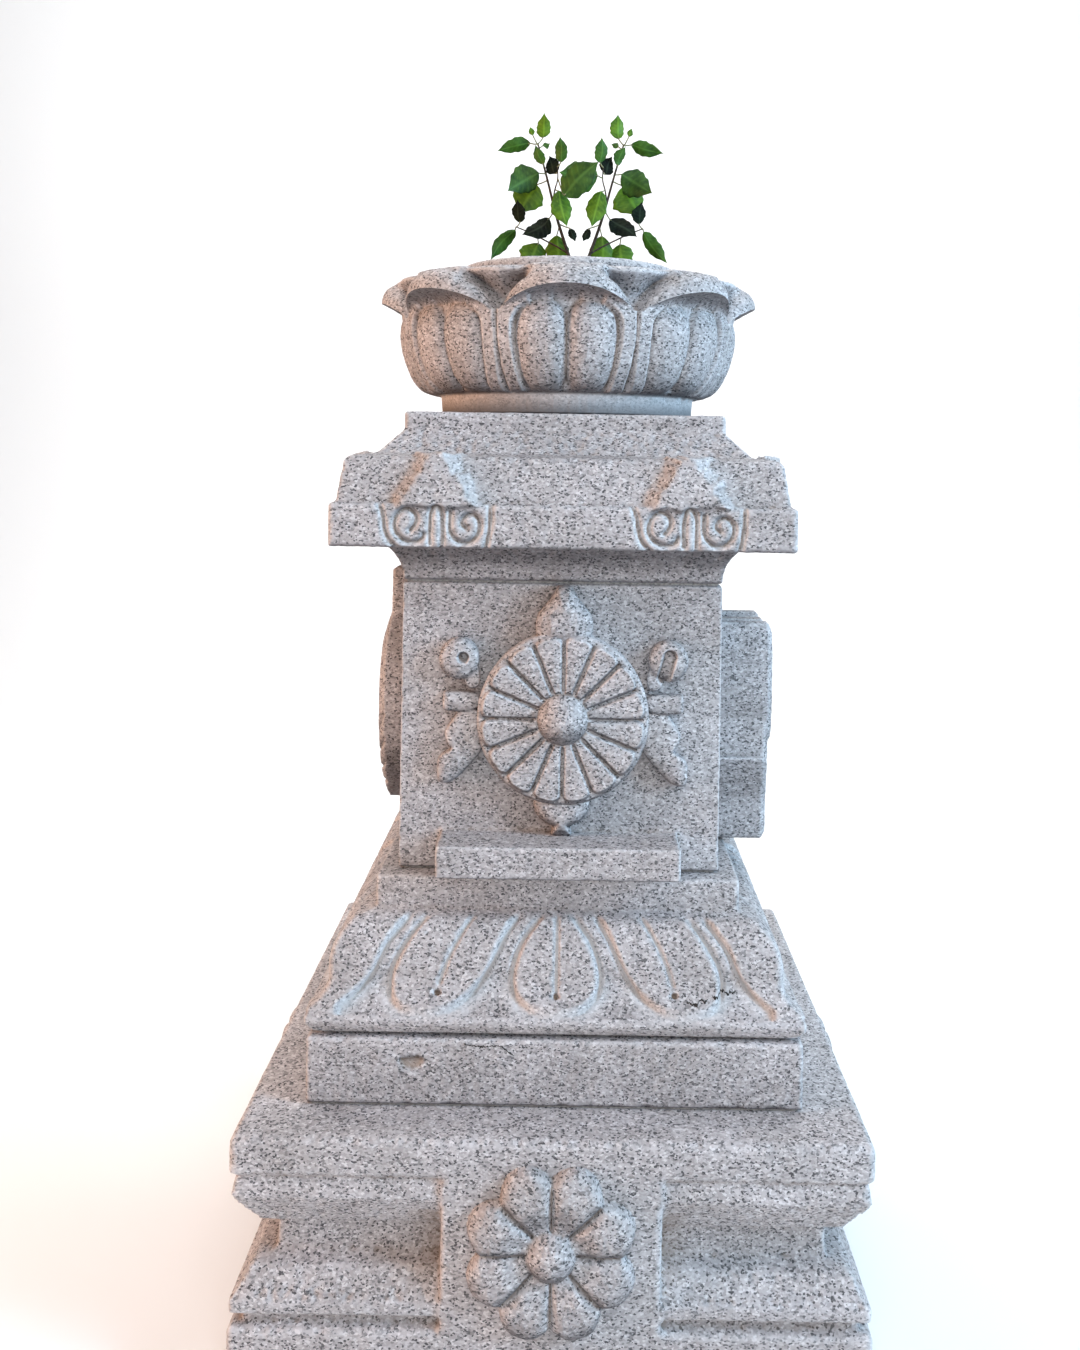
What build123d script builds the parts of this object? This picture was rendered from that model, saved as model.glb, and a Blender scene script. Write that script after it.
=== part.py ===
from build123d import *
import os
from math import cos, hypot, radians, sin

os.makedirs("parts", exist_ok=True)

# Tulsi vrindavan: a pedestal of five granite stones, mortared and pinned, with a loose
# planting bowl on top. Millimetres. The origin is on the ground, on the vertical axis.
# The front looks along -Y, and the stones are square in plan, so most sizes are half widths.

# Pedestal stone
base_half = 305.0
base_foot_height = 64.0
base_edge_round = 4.0
top_slab_thick = 35.0
slab_groove_height = 5.0
slab_groove_depth = 10.0
band_height = 16.0
band_top_inset = 6.0
band_inset = 2.0
chamfer_height = 21.0
chamfer_inset = 32.0
neck_inset = 38.0
neck_height = 26.0
shoulder_height = 8.0
flare_height = 46.0
flare_hollow = 7.0
flare_tip_height = 11.0
foot_groove_height = 12.0
foot_groove_depth = 12.0
panel_width = 209.0
panel_foot_bury = 32.0

# Rosette on each pedestal panel
rosette_petals = 8
rosette_radius = 78.0
rosette_shoulder = 64.0
rosette_rise = 16.0
rosette_groove = 4.0
rosette_boss_radius = 26.0
rosette_boss_rise = 21.0
rosette_height = 142.0

# Plinth slab
plinth_half = 246.0
plinth_height = 65.0

# Lotus apron, with its foot slab
apron_height = 140.0
apron_bed_half = 222.0
apron_lip_half = 248.0
lip_under_height = 13.0
lip_under_inset = 5.0
lip_height = 22.0
apron_belly_half = 225.0
apron_belly_height = 56.0
apron_flare_sag = 5.0
apron_bow = 9.0
foot_slab_half = 188.0
foot_slab_height = 33.0
apron_petals = 3
apron_petal_spacing_low = 121.0
apron_petal_spacing_high = 86.0
apron_petal_width_low = 94.0
apron_petal_width_high = 46.0
apron_petal_rise = 3.0
apron_petal_margin = 9.0

# Shaft
shaft_half = 168.0
shaft_height = 300.0
ledge_width = 248.0
ledge_height = 32.0
ledge_reach = 58.0
ledge_lift = 8.0

# Wheel emblem on the shaft's front
wheel_height = 166.0
wheel_petals = 16
wheel_radius = 87.0
wheel_thick = 27.0
wheel_petal_radius = 83.0
wheel_petal_shoulder = 76.0
wheel_petal_rise = 4.0
wheel_groove = 4.0
wheel_boss_radius = 26.0
wheel_boss_rise = 18.0
finial_width = 58.0
finial_thick = 24.0
drop_radius = 26.0
drop_thick = 22.0
drop_stem_width = 13.0
ribbon_out = 108.0
ribbon_thick = 20.0
ribbon_scroll_radius = 19.0
ribbon_scroll_lift = 62.0
ribbon_bar_height = 17.0
ribbon_bar_lift = 20.0
ribbon_tail_drop = 66.0
ribbon_tail_width = 30.0

# Conch on the shaft's left side
conch_reach = 48.0
conch_height = 200.0
conch_centre = 148.0
conch_width = 150.0
conch_chamfer = 24.0
conch_tip_reach = 33.0
conch_tip_width = 44.0

# Forked mark on its pedestal, on the shaft's right side
mark_reach = 75.0
mark_edge_reach = 65.0
mark_bottom_reach = 68.0
mark_lift = 2.0
mark_foot_height = 95.0
mark_foot_width = 150.0
mark_height = 166.0
mark_width = 128.0
mark_arm = 34.0
mark_stroke = 22.0

# Lotus medallion on the shaft's back
medallion_petals = 8
medallion_radius = 84.0
medallion_shoulder = 70.0
medallion_rise = 18.0

# Cornice
cove_height = 39.0
cove_half = 188.0
cove_hollow = 5.0
fascia_half = 235.0
fascia_height = 44.0
eave_half = 229.0
eave_top_half = 223.0
eave_height = 48.0
eave_round = 9.0
slope_half = 194.0
slope_height = 27.0
cap_slab_half = 169.0
cap_slab_height = 19.0
gable_offset = 127.0
gable_half_width = 41.0
gable_shoulder = 27.0

# Bowl: radii from its own axis, heights from its foot
bowl_foot_radius = 148.0
bowl_foot_height = 24.0
bowl_wall_low_radius = 174.0
bowl_wall_low_height = 52.0
bowl_wall_radius = 187.0
bowl_belly_height = 87.0
bowl_waist_radius = 181.0
bowl_waist_height = 116.0
bowl_brim_radius = 194.0
bowl_brim_height = 146.0
bowl_petals = 8
petal_border = 7.0
petal_lip_radius = 220.0
petal_lip_height = 139.0
petal_top_height = 153.0
petal_top_radius = 206.0
petal_half_width = 70.0
lobe_rise = 6.0
lobe_width = 46.0
lobe_gap = 5.0
lobe_low = 30.0
lobe_high = 124.0
collar_radius = 126.0
bowl_height = 174.0
hollow_top_radius = 108.0
hollow_floor_radius = 94.0
bowl_floor = 50.0
drain_radius = 11.0
weep_width = 14.0
weep_height = 7.0

# Filling of the bowl
fill_clearance = 0.3
screen_radius = 24.0
screen_thick = 1.5
screen_hole_radius = 2.0
screen_hole_pitch = 7.0
gravel_thick = 24.0
cloth_thick = 1.0
soil_below_rim = 6.0
root_top_radius = 30.0
root_floor_radius = 22.0
root_depth = 58.0

# Beds and pins between the fixed stones
bed_thick = 2.0
bed_inset = 4.0
pin_radius = 6.0
pin_depth = 30.0
pin_edge = 62.0
pin_clearance = 0.3

# Plant
plant_x = 11.5
stem_foot_radius = 2.8
stem_root_radius = 2.3
stem_tip_radius = 0.9
stem_apart = 3.2
stem_in_soil = 22.0
shoot_radius = 0.8
petiole_width = 1.1
stalk_overlap = 0.12
stalk_bury = 5.0
leaf_thick = 0.8
leaf_gap = 0.2

# Heights of the beds, from the ground up
base_height = (
    base_foot_height + foot_groove_height + flare_tip_height + flare_height + shoulder_height
    + neck_height + chamfer_height + band_height + slab_groove_height + top_slab_thick
)
plinth_z = base_height + bed_thick
apron_z = plinth_z + plinth_height + bed_thick
shaft_z = apron_z + apron_height + bed_thick
cornice_z = shaft_z + shaft_height + bed_thick
cornice_height = cove_height + fascia_height + eave_height + slope_height + cap_slab_height
bowl_z = cornice_z + cornice_height
soil_top = bowl_z + bowl_height - soil_below_rim


def path(start, *steps):
    """Edges from start through the steps: (x, y) is a straight run, and
    (x1, y1, x2, y2) is an arc through the first point to the second."""
    edges = []
    here = start
    for step in steps:
        there = step[-2:]
        if len(step) == 2:
            edges.append(Line(here, there))
        else:
            edges.append(ThreePointArc(here, step[:2], there))
        here = there
    return edges


def square_stone(*points):
    """A stone with the same moulded profile on its four sides, mitred at the corners.
    The profile runs upwards, as half width and height."""
    right = path(*points)
    left = [mirror(edge, about=Plane.YZ) for edge in right]
    foot_half, foot_z = points[0]
    head_half, head_z = points[-1][-2:]
    across = [
        Line((-foot_half, foot_z), (foot_half, foot_z)),
        Line((-head_half, head_z), (head_half, head_z)),
    ]
    bar = extrude(Plane.XZ * make_face(right + left + across), amount=2 * base_half, both=True)
    return bar & (Rot(0, 0, 90) * bar)


def turned(*points):
    """A solid of revolution about Z, from a closed outline of radii and heights."""
    return revolve(Plane.XZ * make_face(path(*points, points[0])), Axis.Z)


def face_plane(reach, height):
    """The plane of a stone's front face: X to the right, Y up, Z out of the stone."""
    return Plane(origin=(0, -reach, height), x_dir=(1, 0, 0), z_dir=(0, -1, 0))


def on_side(solid, side):
    """A carving made for the front, turned to side 0 front, 1 right, 2 back, 3 left."""
    return Rot(0, 0, 90 * side) * solid


def prism(edges, low, high):
    return extrude(Plane.XY.offset(low) * make_face(edges), amount=high - low)


def carved_petals(count, inner, shoulder, outer, rise, groove):
    """Petals about a centre, on the XY plane: wedges with round ends and grooves
    between, domed from the centre outwards."""
    half = radians(180 / count)

    def edge_point(radius):
        return (
            radius * cos(half) + groove / 2 * sin(half),
            radius * sin(half) - groove / 2 * cos(half),
        )

    low, high = edge_point(inner), edge_point(shoulder)
    outline = path(
        (low[0], -low[1]), (high[0], -high[1]), (outer, 0, high[0], high[1]), low, (low[0], -low[1])
    )
    dome = turned(
        (0, -1), (outer, -1), (outer, rise * 0.35), ((inner + outer) / 2, rise, 0, rise * 0.6)
    )
    petal = prism(outline, -1, rise + 1) & dome
    return Part() + [Rot(0, 0, 360 / count * (k + 0.5)) * petal for k in range(count)]


def boss(radius, rise):
    return turned((0, -1), (radius, -1), (radius, 0), (radius * 0.75, rise * 0.66, 0, rise))


# --- Pedestal ---

def base_profile():
    """Pedestal side from the ground up: foot slab, groove, ogee flare, neck, band, top slab."""
    foot_groove_top = base_foot_height + foot_groove_height
    tip = foot_groove_top + flare_tip_height
    shoulder = tip + flare_height
    neck = shoulder + shoulder_height
    chamfer = neck + neck_height
    band = chamfer + chamfer_height
    groove = band + band_height
    slab = groove + slab_groove_height
    half = base_half
    return (
        (half, 0),
        (half, base_foot_height),
        (half - foot_groove_depth, base_foot_height),
        (half - foot_groove_depth, foot_groove_top),
        (half - band_inset, foot_groove_top),
        (half - band_inset, tip),
        (half - (band_inset + chamfer_inset) / 2 - flare_hollow, (tip + shoulder) / 2,
         half - chamfer_inset, shoulder),
        (half - neck_inset, neck),
        (half - neck_inset, chamfer),
        (half - chamfer_inset, chamfer),
        (half - band_inset, band),
        (half - band_top_inset, groove),
        (half - slab_groove_depth, groove),
        (half - slab_groove_depth, slab),
        (half, slab),
        (half, base_height - base_edge_round),
        (half - base_edge_round * 0.29, base_height - base_edge_round * 0.29,
         half - base_edge_round, base_height),
    )


def pin_spots(bed_half, diagonal):
    """The two pin positions of a bed, on one diagonal of the square."""
    reach = bed_half - pin_edge
    return [(reach, reach * diagonal), (-reach, -reach * diagonal)]


def pin_holes(spots, mouth, direction, extra=0.0):
    """Blind holes from a bed face at height mouth, upwards (1) or downwards (-1)."""
    depth = pin_depth + extra
    middle = mouth + direction * depth / 2
    hole = Cylinder(pin_radius + pin_clearance, depth)
    return Part() + [Pos(x, y, middle) * hole for x, y in spots]


# Bed half width of the stone above, and which diagonal its pins take
plinth_spots = pin_spots(plinth_half, 1)
apron_spots = pin_spots(apron_bed_half, -1)
shaft_spots = pin_spots(shaft_half, 1)
cornice_spots = pin_spots(shaft_half, -1)
pin_end_gap = 2.0


def make_base():
    stone = square_stone(*base_profile())
    panel_low = base_foot_height - panel_foot_bury
    panel_high = base_height - top_slab_thick / 2
    for size in ((2 * base_half, panel_width), (panel_width, 2 * base_half)):
        stone += Pos(0, 0, (panel_low + panel_high) / 2) * Box(*size, panel_high - panel_low)
    rosette = carved_petals(
        rosette_petals, rosette_boss_radius * 0.8, rosette_shoulder, rosette_radius,
        rosette_rise, rosette_groove,
    ) + boss(rosette_boss_radius, rosette_boss_rise)
    rosette = face_plane(base_half, rosette_height) * rosette
    for side in range(4):
        stone += on_side(rosette, side)
    return stone - pin_holes(plinth_spots, base_height, -1)


# --- Plinth and lotus apron ---

def make_plinth():
    slab = Pos(0, 0, plinth_z + plinth_height / 2) * Box(
        2 * plinth_half, 2 * plinth_half, plinth_height
    )
    slab -= pin_holes(plinth_spots, plinth_z, 1, pin_end_gap)
    return slab - pin_holes(apron_spots, plinth_z + plinth_height, -1)


def apron_body(swell):
    """The apron's moulding, swollen outwards for the raised petals."""
    lip, belly, top = (
        half + swell for half in (apron_lip_half, apron_belly_half, foot_slab_half)
    )
    lip_z = apron_z + lip_height
    belly_z = apron_z + apron_belly_height
    top_z = apron_z + apron_height - foot_slab_height
    # a hollow flare at the lip runs into a full curve below the foot slab
    return square_stone(
        (apron_bed_half, apron_z),
        (lip - lip_under_inset, apron_z + lip_under_height),
        (lip, (apron_z + lip_under_height + lip_z) / 2, lip - 1, lip_z),
        ((lip + belly) / 2 - apron_flare_sag, (lip_z + belly_z) / 2 - apron_flare_sag, belly, belly_z),
        ((belly + top) / 2 + apron_bow, (belly_z + top_z) / 2 + apron_bow, top, top_z),
        (top, apron_z + apron_height),
    )


def make_apron():
    stone = apron_body(0)
    swollen = apron_body(apron_petal_rise)
    low = apron_z + lip_height + apron_petal_margin
    high = apron_z + apron_height - foot_slab_height - 2
    widest = low + (high - low) * 0.3
    petals = Part()
    for k in range(apron_petals):
        place = k - (apron_petals - 1) / 2
        x_low, x_high = place * apron_petal_spacing_low, place * apron_petal_spacing_high
        x_wide = x_low + (x_high - x_low) * 0.3
        wide, narrow = apron_petal_width_low / 2, apron_petal_width_high / 2
        bend = (x_wide + x_high) / 2
        outline = path(
            (x_wide - wide, widest),
            (x_low, low, x_wide + wide, widest),
            (bend + (wide + narrow) / 2 + 3, (widest + high) / 2, x_high + narrow, high),
            (x_high - narrow, high),
            (bend - (wide + narrow) / 2 - 3, (widest + high) / 2, x_wide - wide, widest),
        )
        petals += extrude(Plane.XZ * make_face(outline), amount=base_half)
    relief = petals & swollen
    for side in range(4):
        stone += on_side(relief, side)
    stone -= pin_holes(apron_spots, apron_z, 1, pin_end_gap)
    return stone - pin_holes(shaft_spots, apron_z + apron_height, -1)


# --- Shaft and its reliefs ---

def wheel_emblem():
    """The wheel with its finial, drop and ribbons, on the XY plane."""
    wheel = Pos(0, 0, wheel_thick / 2 - 1) * Cylinder(wheel_radius, wheel_thick + 2)
    petals = carved_petals(
        wheel_petals, wheel_boss_radius * 0.8, wheel_petal_shoulder, wheel_petal_radius,
        wheel_petal_rise, wheel_groove,
    )
    wheel += Pos(0, 0, wheel_thick) * (petals + boss(wheel_boss_radius, wheel_boss_rise))

    # flame-shaped finial from the wheel to the top of the shaft
    root, top = wheel_radius - 8, shaft_height - wheel_height
    half = finial_width / 2
    waist = root + (top - root) * 0.6
    flame = path(
        (half * 0.9, root),
        (half, root + 12, half * 0.62, (root + waist) / 2 + 5),
        (half * 0.42, waist + 2, half * 0.24, top),
        (-half * 0.24, top),
        (-half * 0.42, waist + 2, -half * 0.62, (root + waist) / 2 + 5),
        (-half, root + 12, -half * 0.9, root),
        (half * 0.9, root),
    )
    finial = prism(flame, -1, finial_thick)

    # round drop and its stem, from the wheel to the ledge
    drop = Pos(0, -wheel_radius, drop_thick / 2 - 0.5) * Cylinder(drop_radius, drop_thick + 1)
    ledge_top = ledge_lift + ledge_height - wheel_height
    stem = Pos(0, (ledge_top - wheel_radius) / 2, drop_thick / 2 - 0.5) * Box(
        drop_stem_width, -wheel_radius - ledge_top, drop_thick + 1
    )
    return wheel + finial + drop + stem + ribbon(1) + ribbon(-1)


def ribbon(hand):
    """One flying ribbon beside the wheel: scroll, tie bar and flared tail. hand is 1 or -1."""
    height = ribbon_thick + 1
    scroll_x = hand * (ribbon_out - ribbon_scroll_radius * 0.4)
    scroll = Pos(scroll_x, ribbon_scroll_lift, height / 2 - 1) * Cylinder(ribbon_scroll_radius, height)
    curl = Pos(scroll_x - hand * 6, ribbon_scroll_lift - 22, height / 2 - 1) * Box(20, 24, height)
    bar_in = wheel_radius * 0.85
    bar = Pos(hand * (bar_in + ribbon_out) / 2, ribbon_bar_lift, height / 2 - 1) * Box(
        ribbon_out - bar_in, ribbon_bar_height, height
    )
    low = ribbon_bar_lift - ribbon_tail_drop
    tail = path(
        (hand * (ribbon_out - 14), ribbon_bar_lift),
        (hand * (ribbon_out - 14), ribbon_bar_lift - 30, hand * (ribbon_out + 16), low + ribbon_tail_width),
        (hand * (ribbon_out + 16), low),
        (hand * (ribbon_out - 12), low + 2, hand * wheel_radius * 0.8, low + ribbon_tail_width * 1.1),
        (hand * wheel_radius * 0.8, ribbon_bar_lift),
        (hand * (ribbon_out - 14), ribbon_bar_lift),
    )
    return scroll + curl + bar + prism(tail, -1, ribbon_thick)


def conch_relief():
    """A conch standing on its point, on the XY plane, with its crown under the cornice."""
    half, tall = conch_width / 2, conch_height / 2
    shell = path(
        (-half * 0.3, tall),
        (-half * 1.05, tall * 0.55, -half, 0),
        (-half * 0.8, -tall * 0.65, 0, -tall - conch_chamfer),
        (half * 0.75, -tall * 0.6, half * 0.85, 0),
        (half * 0.85, tall * 0.6, half * 0.3, tall),
        (-half * 0.3, tall),
    )
    blank = prism(shell, -1, conch_reach)
    # the side view is a flat front with bevelled ends
    side = path(
        (-tall - conch_chamfer, -2), (-tall - conch_chamfer, conch_reach * 0.4),
        (-tall + conch_chamfer * 0.4, conch_reach), (tall - 8, conch_reach),
        (tall + 1, conch_reach * 0.7), (tall + 1, -2), (-tall - conch_chamfer, -2),
    )
    profile = extrude(Plane(origin=(0, 0, 0), x_dir=(0, 1, 0), z_dir=(1, 0, 0)) * make_face(side),
                      amount=conch_width, both=True)
    crown_low = tall - 4
    crown_high = shaft_height - conch_centre
    crown = Pos(0, (crown_low + crown_high) / 2, conch_tip_reach / 2 - 0.5) * Box(
        conch_tip_width, crown_high - crown_low, conch_tip_reach + 1
    )
    whorl = Pos(0, tall * 0.25, conch_reach - 1) * boss(half * 0.42, 0.5)
    return (blank & profile) + crown + whorl


def mark_relief():
    """The tall forked mark and its pedestal, on the XY plane, heights from the shaft's foot."""
    foot_top = mark_lift + mark_foot_height
    top = foot_top + mark_height
    half, foot_half = mark_width / 2, mark_foot_width / 2
    pedestal = path(
        (-foot_half * 0.82, mark_lift), (foot_half * 0.82, mark_lift),
        (foot_half * 0.86, foot_top * 0.5, foot_half, foot_top), (-foot_half, foot_top),
        (-foot_half * 0.86, foot_top * 0.5, -foot_half * 0.82, mark_lift),
    )
    inner = half - mark_arm
    fork = path(
        (-half, top), (-half, foot_top + half * 0.5),
        (-half * 0.75, foot_top + half * 0.12, 0, foot_top - 1),
        (half * 0.75, foot_top + half * 0.12, half, foot_top + half * 0.5),
        (half, top), (inner, top), (inner, foot_top + half * 0.75),
        (0, foot_top + half * 0.42, -inner, foot_top + half * 0.75),
        (-inner, top), (-half, top),
    )
    shape = prism(pedestal, -1, mark_reach) + prism(fork, -1, mark_reach)
    shape += Pos(0, (foot_top + half * 0.3 + top) / 2, mark_reach / 2 - 0.5) * Box(
        mark_stroke, top - foot_top - half * 0.3, mark_reach + 1
    )
    # in side view the face bows out to its full reach a little above the pedestal
    side = path(
        (mark_lift - 1, -2), (mark_lift - 1, mark_bottom_reach),
        (foot_top, mark_reach - 3),
        ((foot_top + top) / 2, mark_reach, top, mark_edge_reach),
        (top, -2), (mark_lift - 1, -2),
    )
    bow = extrude(Plane(origin=(0, 0, 0), x_dir=(0, 1, 0), z_dir=(1, 0, 0)) * make_face(side),
                  amount=mark_foot_width, both=True)
    return shape & bow


def make_shaft():
    stone = Pos(0, 0, shaft_z + shaft_height / 2) * Box(
        2 * shaft_half, 2 * shaft_half, shaft_height
    )
    ledge_middle = shaft_z + ledge_lift + ledge_height / 2
    ledge = Pos(0, -shaft_half - ledge_reach / 2 + 0.5, ledge_middle) * Box(
        ledge_width, ledge_reach + 1, ledge_height
    )
    stone += ledge
    stone += on_side(ledge, 2)
    stone += face_plane(shaft_half, shaft_z + wheel_height) * wheel_emblem()
    medallion = carved_petals(
        medallion_petals, wheel_boss_radius * 0.8, medallion_shoulder, medallion_radius,
        medallion_rise, rosette_groove,
    ) + boss(wheel_boss_radius, medallion_rise + wheel_boss_rise / 3)
    stone += on_side(face_plane(shaft_half, shaft_z + wheel_height) * medallion, 2)
    stone += on_side(face_plane(shaft_half, shaft_z) * mark_relief(), 1)
    stone += on_side(face_plane(shaft_half, shaft_z + conch_centre) * conch_relief(), 3)
    stone -= pin_holes(shaft_spots, shaft_z, 1, pin_end_gap)
    return stone - pin_holes(cornice_spots, shaft_z + shaft_height, -1)


# --- Cornice ---

def gable():
    """A gable on the eave, standing on the fascia's top edge, on the XZ plane, run back in Y."""
    foot = cornice_z + cove_height + fascia_height
    peak = foot + eave_height
    half = gable_half_width
    outline = path(
        (-half, foot), (half, foot), (half * 0.55, foot + eave_height * 0.45),
        (half * 0.12, peak), (-half * 0.12, peak), (-half * 0.55, foot + eave_height * 0.45),
        (-half, foot),
    )
    return Pos(0, -gable_shoulder - slope_half, 0) * extrude(
        Plane.XZ * make_face(outline), amount=(fascia_half - gable_shoulder - slope_half)
    )


def make_cornice():
    cove = cornice_z + cove_height
    fascia = cove + fascia_height
    eave = fascia + eave_height
    slope = eave + slope_height
    stone = square_stone(
        (shaft_half, cornice_z),
        ((shaft_half + cove_half) / 2 - cove_hollow, (cornice_z + cove) / 2 + cove_hollow / 2,
         cove_half, cove),
        (fascia_half, cove),
        (fascia_half, fascia),
        (eave_half, fascia),
        (eave_top_half, eave - eave_round),
        (eave_top_half - eave_round * 0.29, eave - eave_round * 0.29,
         eave_top_half - eave_round, eave),
        (slope_half, eave + 2),
        (cap_slab_half, slope),
        (cap_slab_half, cornice_z + cornice_height),
    )
    for side in range(4):
        for hand in (1, -1):
            stone += on_side(Pos(hand * gable_offset, 0, 0) * gable(), side)
    return stone - pin_holes(cornice_spots, cornice_z, 1, pin_end_gap)


# --- Bowl ---

def hollow_radius(height):
    """Radius of the planting hollow at a height above the bowl's foot."""
    share = (height - bowl_floor) / (bowl_height - bowl_floor)
    return hollow_floor_radius + (hollow_top_radius - hollow_floor_radius) * share


def bowl_side(swell):
    """The bowl's side from the foot to the waist, as path steps, swollen outwards."""
    return (
        (bowl_foot_radius + swell, bowl_foot_height),
        ((bowl_foot_radius + bowl_wall_low_radius) / 2 + swell + 5,
         (bowl_foot_height + bowl_wall_low_height) / 2 - 4,
         bowl_wall_low_radius + swell, bowl_wall_low_height),
        (bowl_wall_radius + swell, (bowl_wall_low_height + bowl_waist_height) / 2,
         bowl_waist_radius + swell, bowl_waist_height),
    )


def make_petal():
    """One front petal: an arch cut from a wider turned ring, with two lobes on it."""
    low, top = bowl_foot_height, petal_top_height + 4
    wide = petal_half_width
    arch = path(
        (-wide * 0.5, low - 1),
        (-wide * 0.86, low + 27, -wide, bowl_belly_height),
        (-wide * 0.76, top - 24, 0, top),
        (wide * 0.76, top - 24, wide, bowl_belly_height),
        (wide * 0.86, low + 27, wide * 0.5, low - 1),
        (-wide * 0.5, low - 1),
    )
    inner = bowl_foot_radius - 8
    waist = bowl_waist_radius + petal_border
    form = turned(
        (inner, low),
        *bowl_side(petal_border),
        ((waist + petal_lip_radius) / 2 - 3, (bowl_waist_height + petal_lip_height) / 2 + 3,
         petal_lip_radius, petal_lip_height),
        ((petal_lip_radius + petal_top_radius) / 2 + 4, (petal_lip_height + petal_top_height) / 2 + 3,
         petal_top_radius, petal_top_height),
        (inner, petal_top_height),
    )
    petal = extrude(Plane.XZ.offset(inner - 10) * make_face(arch), amount=petal_lip_radius) & form
    lobe_form = turned(
        (inner, lobe_low),
        (bowl_wall_low_radius - 8, lobe_low),
        (bowl_wall_radius + petal_border + lobe_rise, bowl_belly_height - 6,
         bowl_waist_radius, lobe_high),
        (inner, lobe_high),
    )
    half = lobe_width / 2
    for hand in (1, -1):
        x = hand * (lobe_gap + lobe_width) / 2
        oval = path(
            (x - half, lobe_low + half * 1.2),
            (x, lobe_low + 1, x + half, lobe_low + half * 1.2),
            (x + half, lobe_high - half),
            (x, lobe_high - 1, x - half, lobe_high - half),
            (x - half, lobe_low + half * 1.2),
        )
        blank = extrude(Plane.XZ.offset(inner - 10) * make_face(oval), amount=petal_lip_radius)
        petal += blank & lobe_form
    return petal


def make_bowl():
    body = turned(
        (drain_radius, 0),
        (bowl_foot_radius, 0),
        *bowl_side(0),
        ((bowl_waist_radius + bowl_brim_radius) / 2 - 2, (bowl_waist_height + bowl_brim_height) / 2,
         bowl_brim_radius, bowl_brim_height - 6),
        (bowl_brim_radius - 6, bowl_brim_height),
        (collar_radius, bowl_brim_height),
        (collar_radius, bowl_height),
        (hollow_top_radius, bowl_height),
        (hollow_floor_radius, bowl_floor),
        (drain_radius, bowl_floor),
    )
    petal = make_petal()
    body += [Rot(0, 0, 360 / bowl_petals * k) * petal for k in range(bowl_petals)]
    # a weep channel under the foot, from the drain to the back
    channel_long = bowl_foot_radius + 10
    body -= Pos(0, channel_long / 2, (weep_height - 1) / 2) * Box(
        weep_width, channel_long, weep_height + 1
    )
    return Pos(0, 0, bowl_z) * body


# --- Filling of the bowl ---

gravel_low = bowl_floor
gravel_high = bowl_floor + gravel_thick
soil_low = gravel_high + cloth_thick
soil_high = bowl_height - soil_below_rim


def filling(low, high):
    """A layer that fills the hollow between two heights, just clear of its wall."""
    return Pos(0, 0, bowl_z) * turned(
        (0, low),
        (hollow_radius(low) - fill_clearance, low),
        (hollow_radius(high) - fill_clearance, high),
        (0, high),
    )


def make_screen():
    disc = Pos(0, 0, bowl_z + bowl_floor + screen_thick / 2) * Cylinder(screen_radius, screen_thick)
    holes = Part()
    steps = int(screen_radius / screen_hole_pitch)
    for i in range(-steps, steps + 1):
        for j in range(-steps, steps + 1):
            x, y = i * screen_hole_pitch, j * screen_hole_pitch
            if hypot(x, y) < screen_radius - 2 * screen_hole_radius:
                holes += Pos(x, y, bowl_z + bowl_floor + screen_thick / 2) * Cylinder(
                    screen_hole_radius, screen_thick + 2
                )
    return disc - holes


def make_gravel():
    pocket = Pos(0, 0, bowl_z + bowl_floor + screen_thick / 2) * Cylinder(
        screen_radius + fill_clearance, screen_thick
    )
    return filling(gravel_low, gravel_high) - pocket


def root_plug(clearance):
    return Pos(plant_x, 0, soil_top) * turned(
        (0, -root_depth),
        (root_floor_radius + clearance, -root_depth),
        (root_top_radius + clearance, 0),
        (0, 0),
    )


# --- Plant ---

# Places on a stem are across, up and forward of the plant's foot, for the left hand
main_stem = [
    (-stem_apart, 0, 0), (-13, 27, 0), (-25, 62, 2), (-32, 87, 3), (-39, 115, 2), (-47, 143, 0),
    (-51, 158, -2),
]
low_shoot = [(-13, 27, 0), (-26, 36, -6), (-41, 44, -10), (-58, 53, -12), (-76, 60, -12)]
inner_shoot = [(-32, 87, 3), (-30, 101, 8), (-26, 112, 11), (-27, 128, 12)]

# Leaves of the left hand: where the stalk leaves the stem, where the blade starts,
# its tip, its width, and how far its face turns from the front, in degrees
leaves = [
    ((-51, 157, -2), (-45, 165, -4), (-43, 194, -8), 18, 15),
    ((-51, 157, -2), (-60, 158, -3), (-99, 151, -8), 19, 35),
    ((-50, 154, -2), (-57, 166, 4), (-60, 175, 6), 7, 10),
    ((-50, 152, -1), (-45, 156, -5), (-37, 159, -8), 8, 12),
    ((-43, 129, 1), (-45, 133, 8), (-52, 154, 12), 12, 40),
    ((-27, 127, 12), (-22, 134, 14), (-24, 160, 18), 14, 25),
    ((-26.6, 121, 11.5), (-31, 125, 7), (-34, 140, 2), 11, 44),
    ((-41, 121, 2), (-52, 118, 6), (-84, 96, 10), 27, 30),
    ((-39, 113, 2), (-54, 108, -8), (-72, 77, -16), 33, -15),
    ((-75, 60, -12), (-72, 66, -6), (-75, 85, 0), 13, 60),
    ((-76, 60, -12), (-78, 54, -15), (-107, 21, -20), 16, 30),
    ((-30, 78, 2), (-40, 68, -8), (-61, 48, -4), 14, -55),
    ((-50, 49, -11), (-49, 40, -18), (-58, 9, -24), 28, 10),
    ((-24, 59, 2), (-27, 49, -14), (-26, 9, -20), 24, -12),
    ((-29, 101, 8), (-24, 95, 16), (-17, 56, 20), 20, 12),
    ((-25, 62, 2), (-10, 53, 6), (-7, 43, 6), 7, 30),
]
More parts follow.
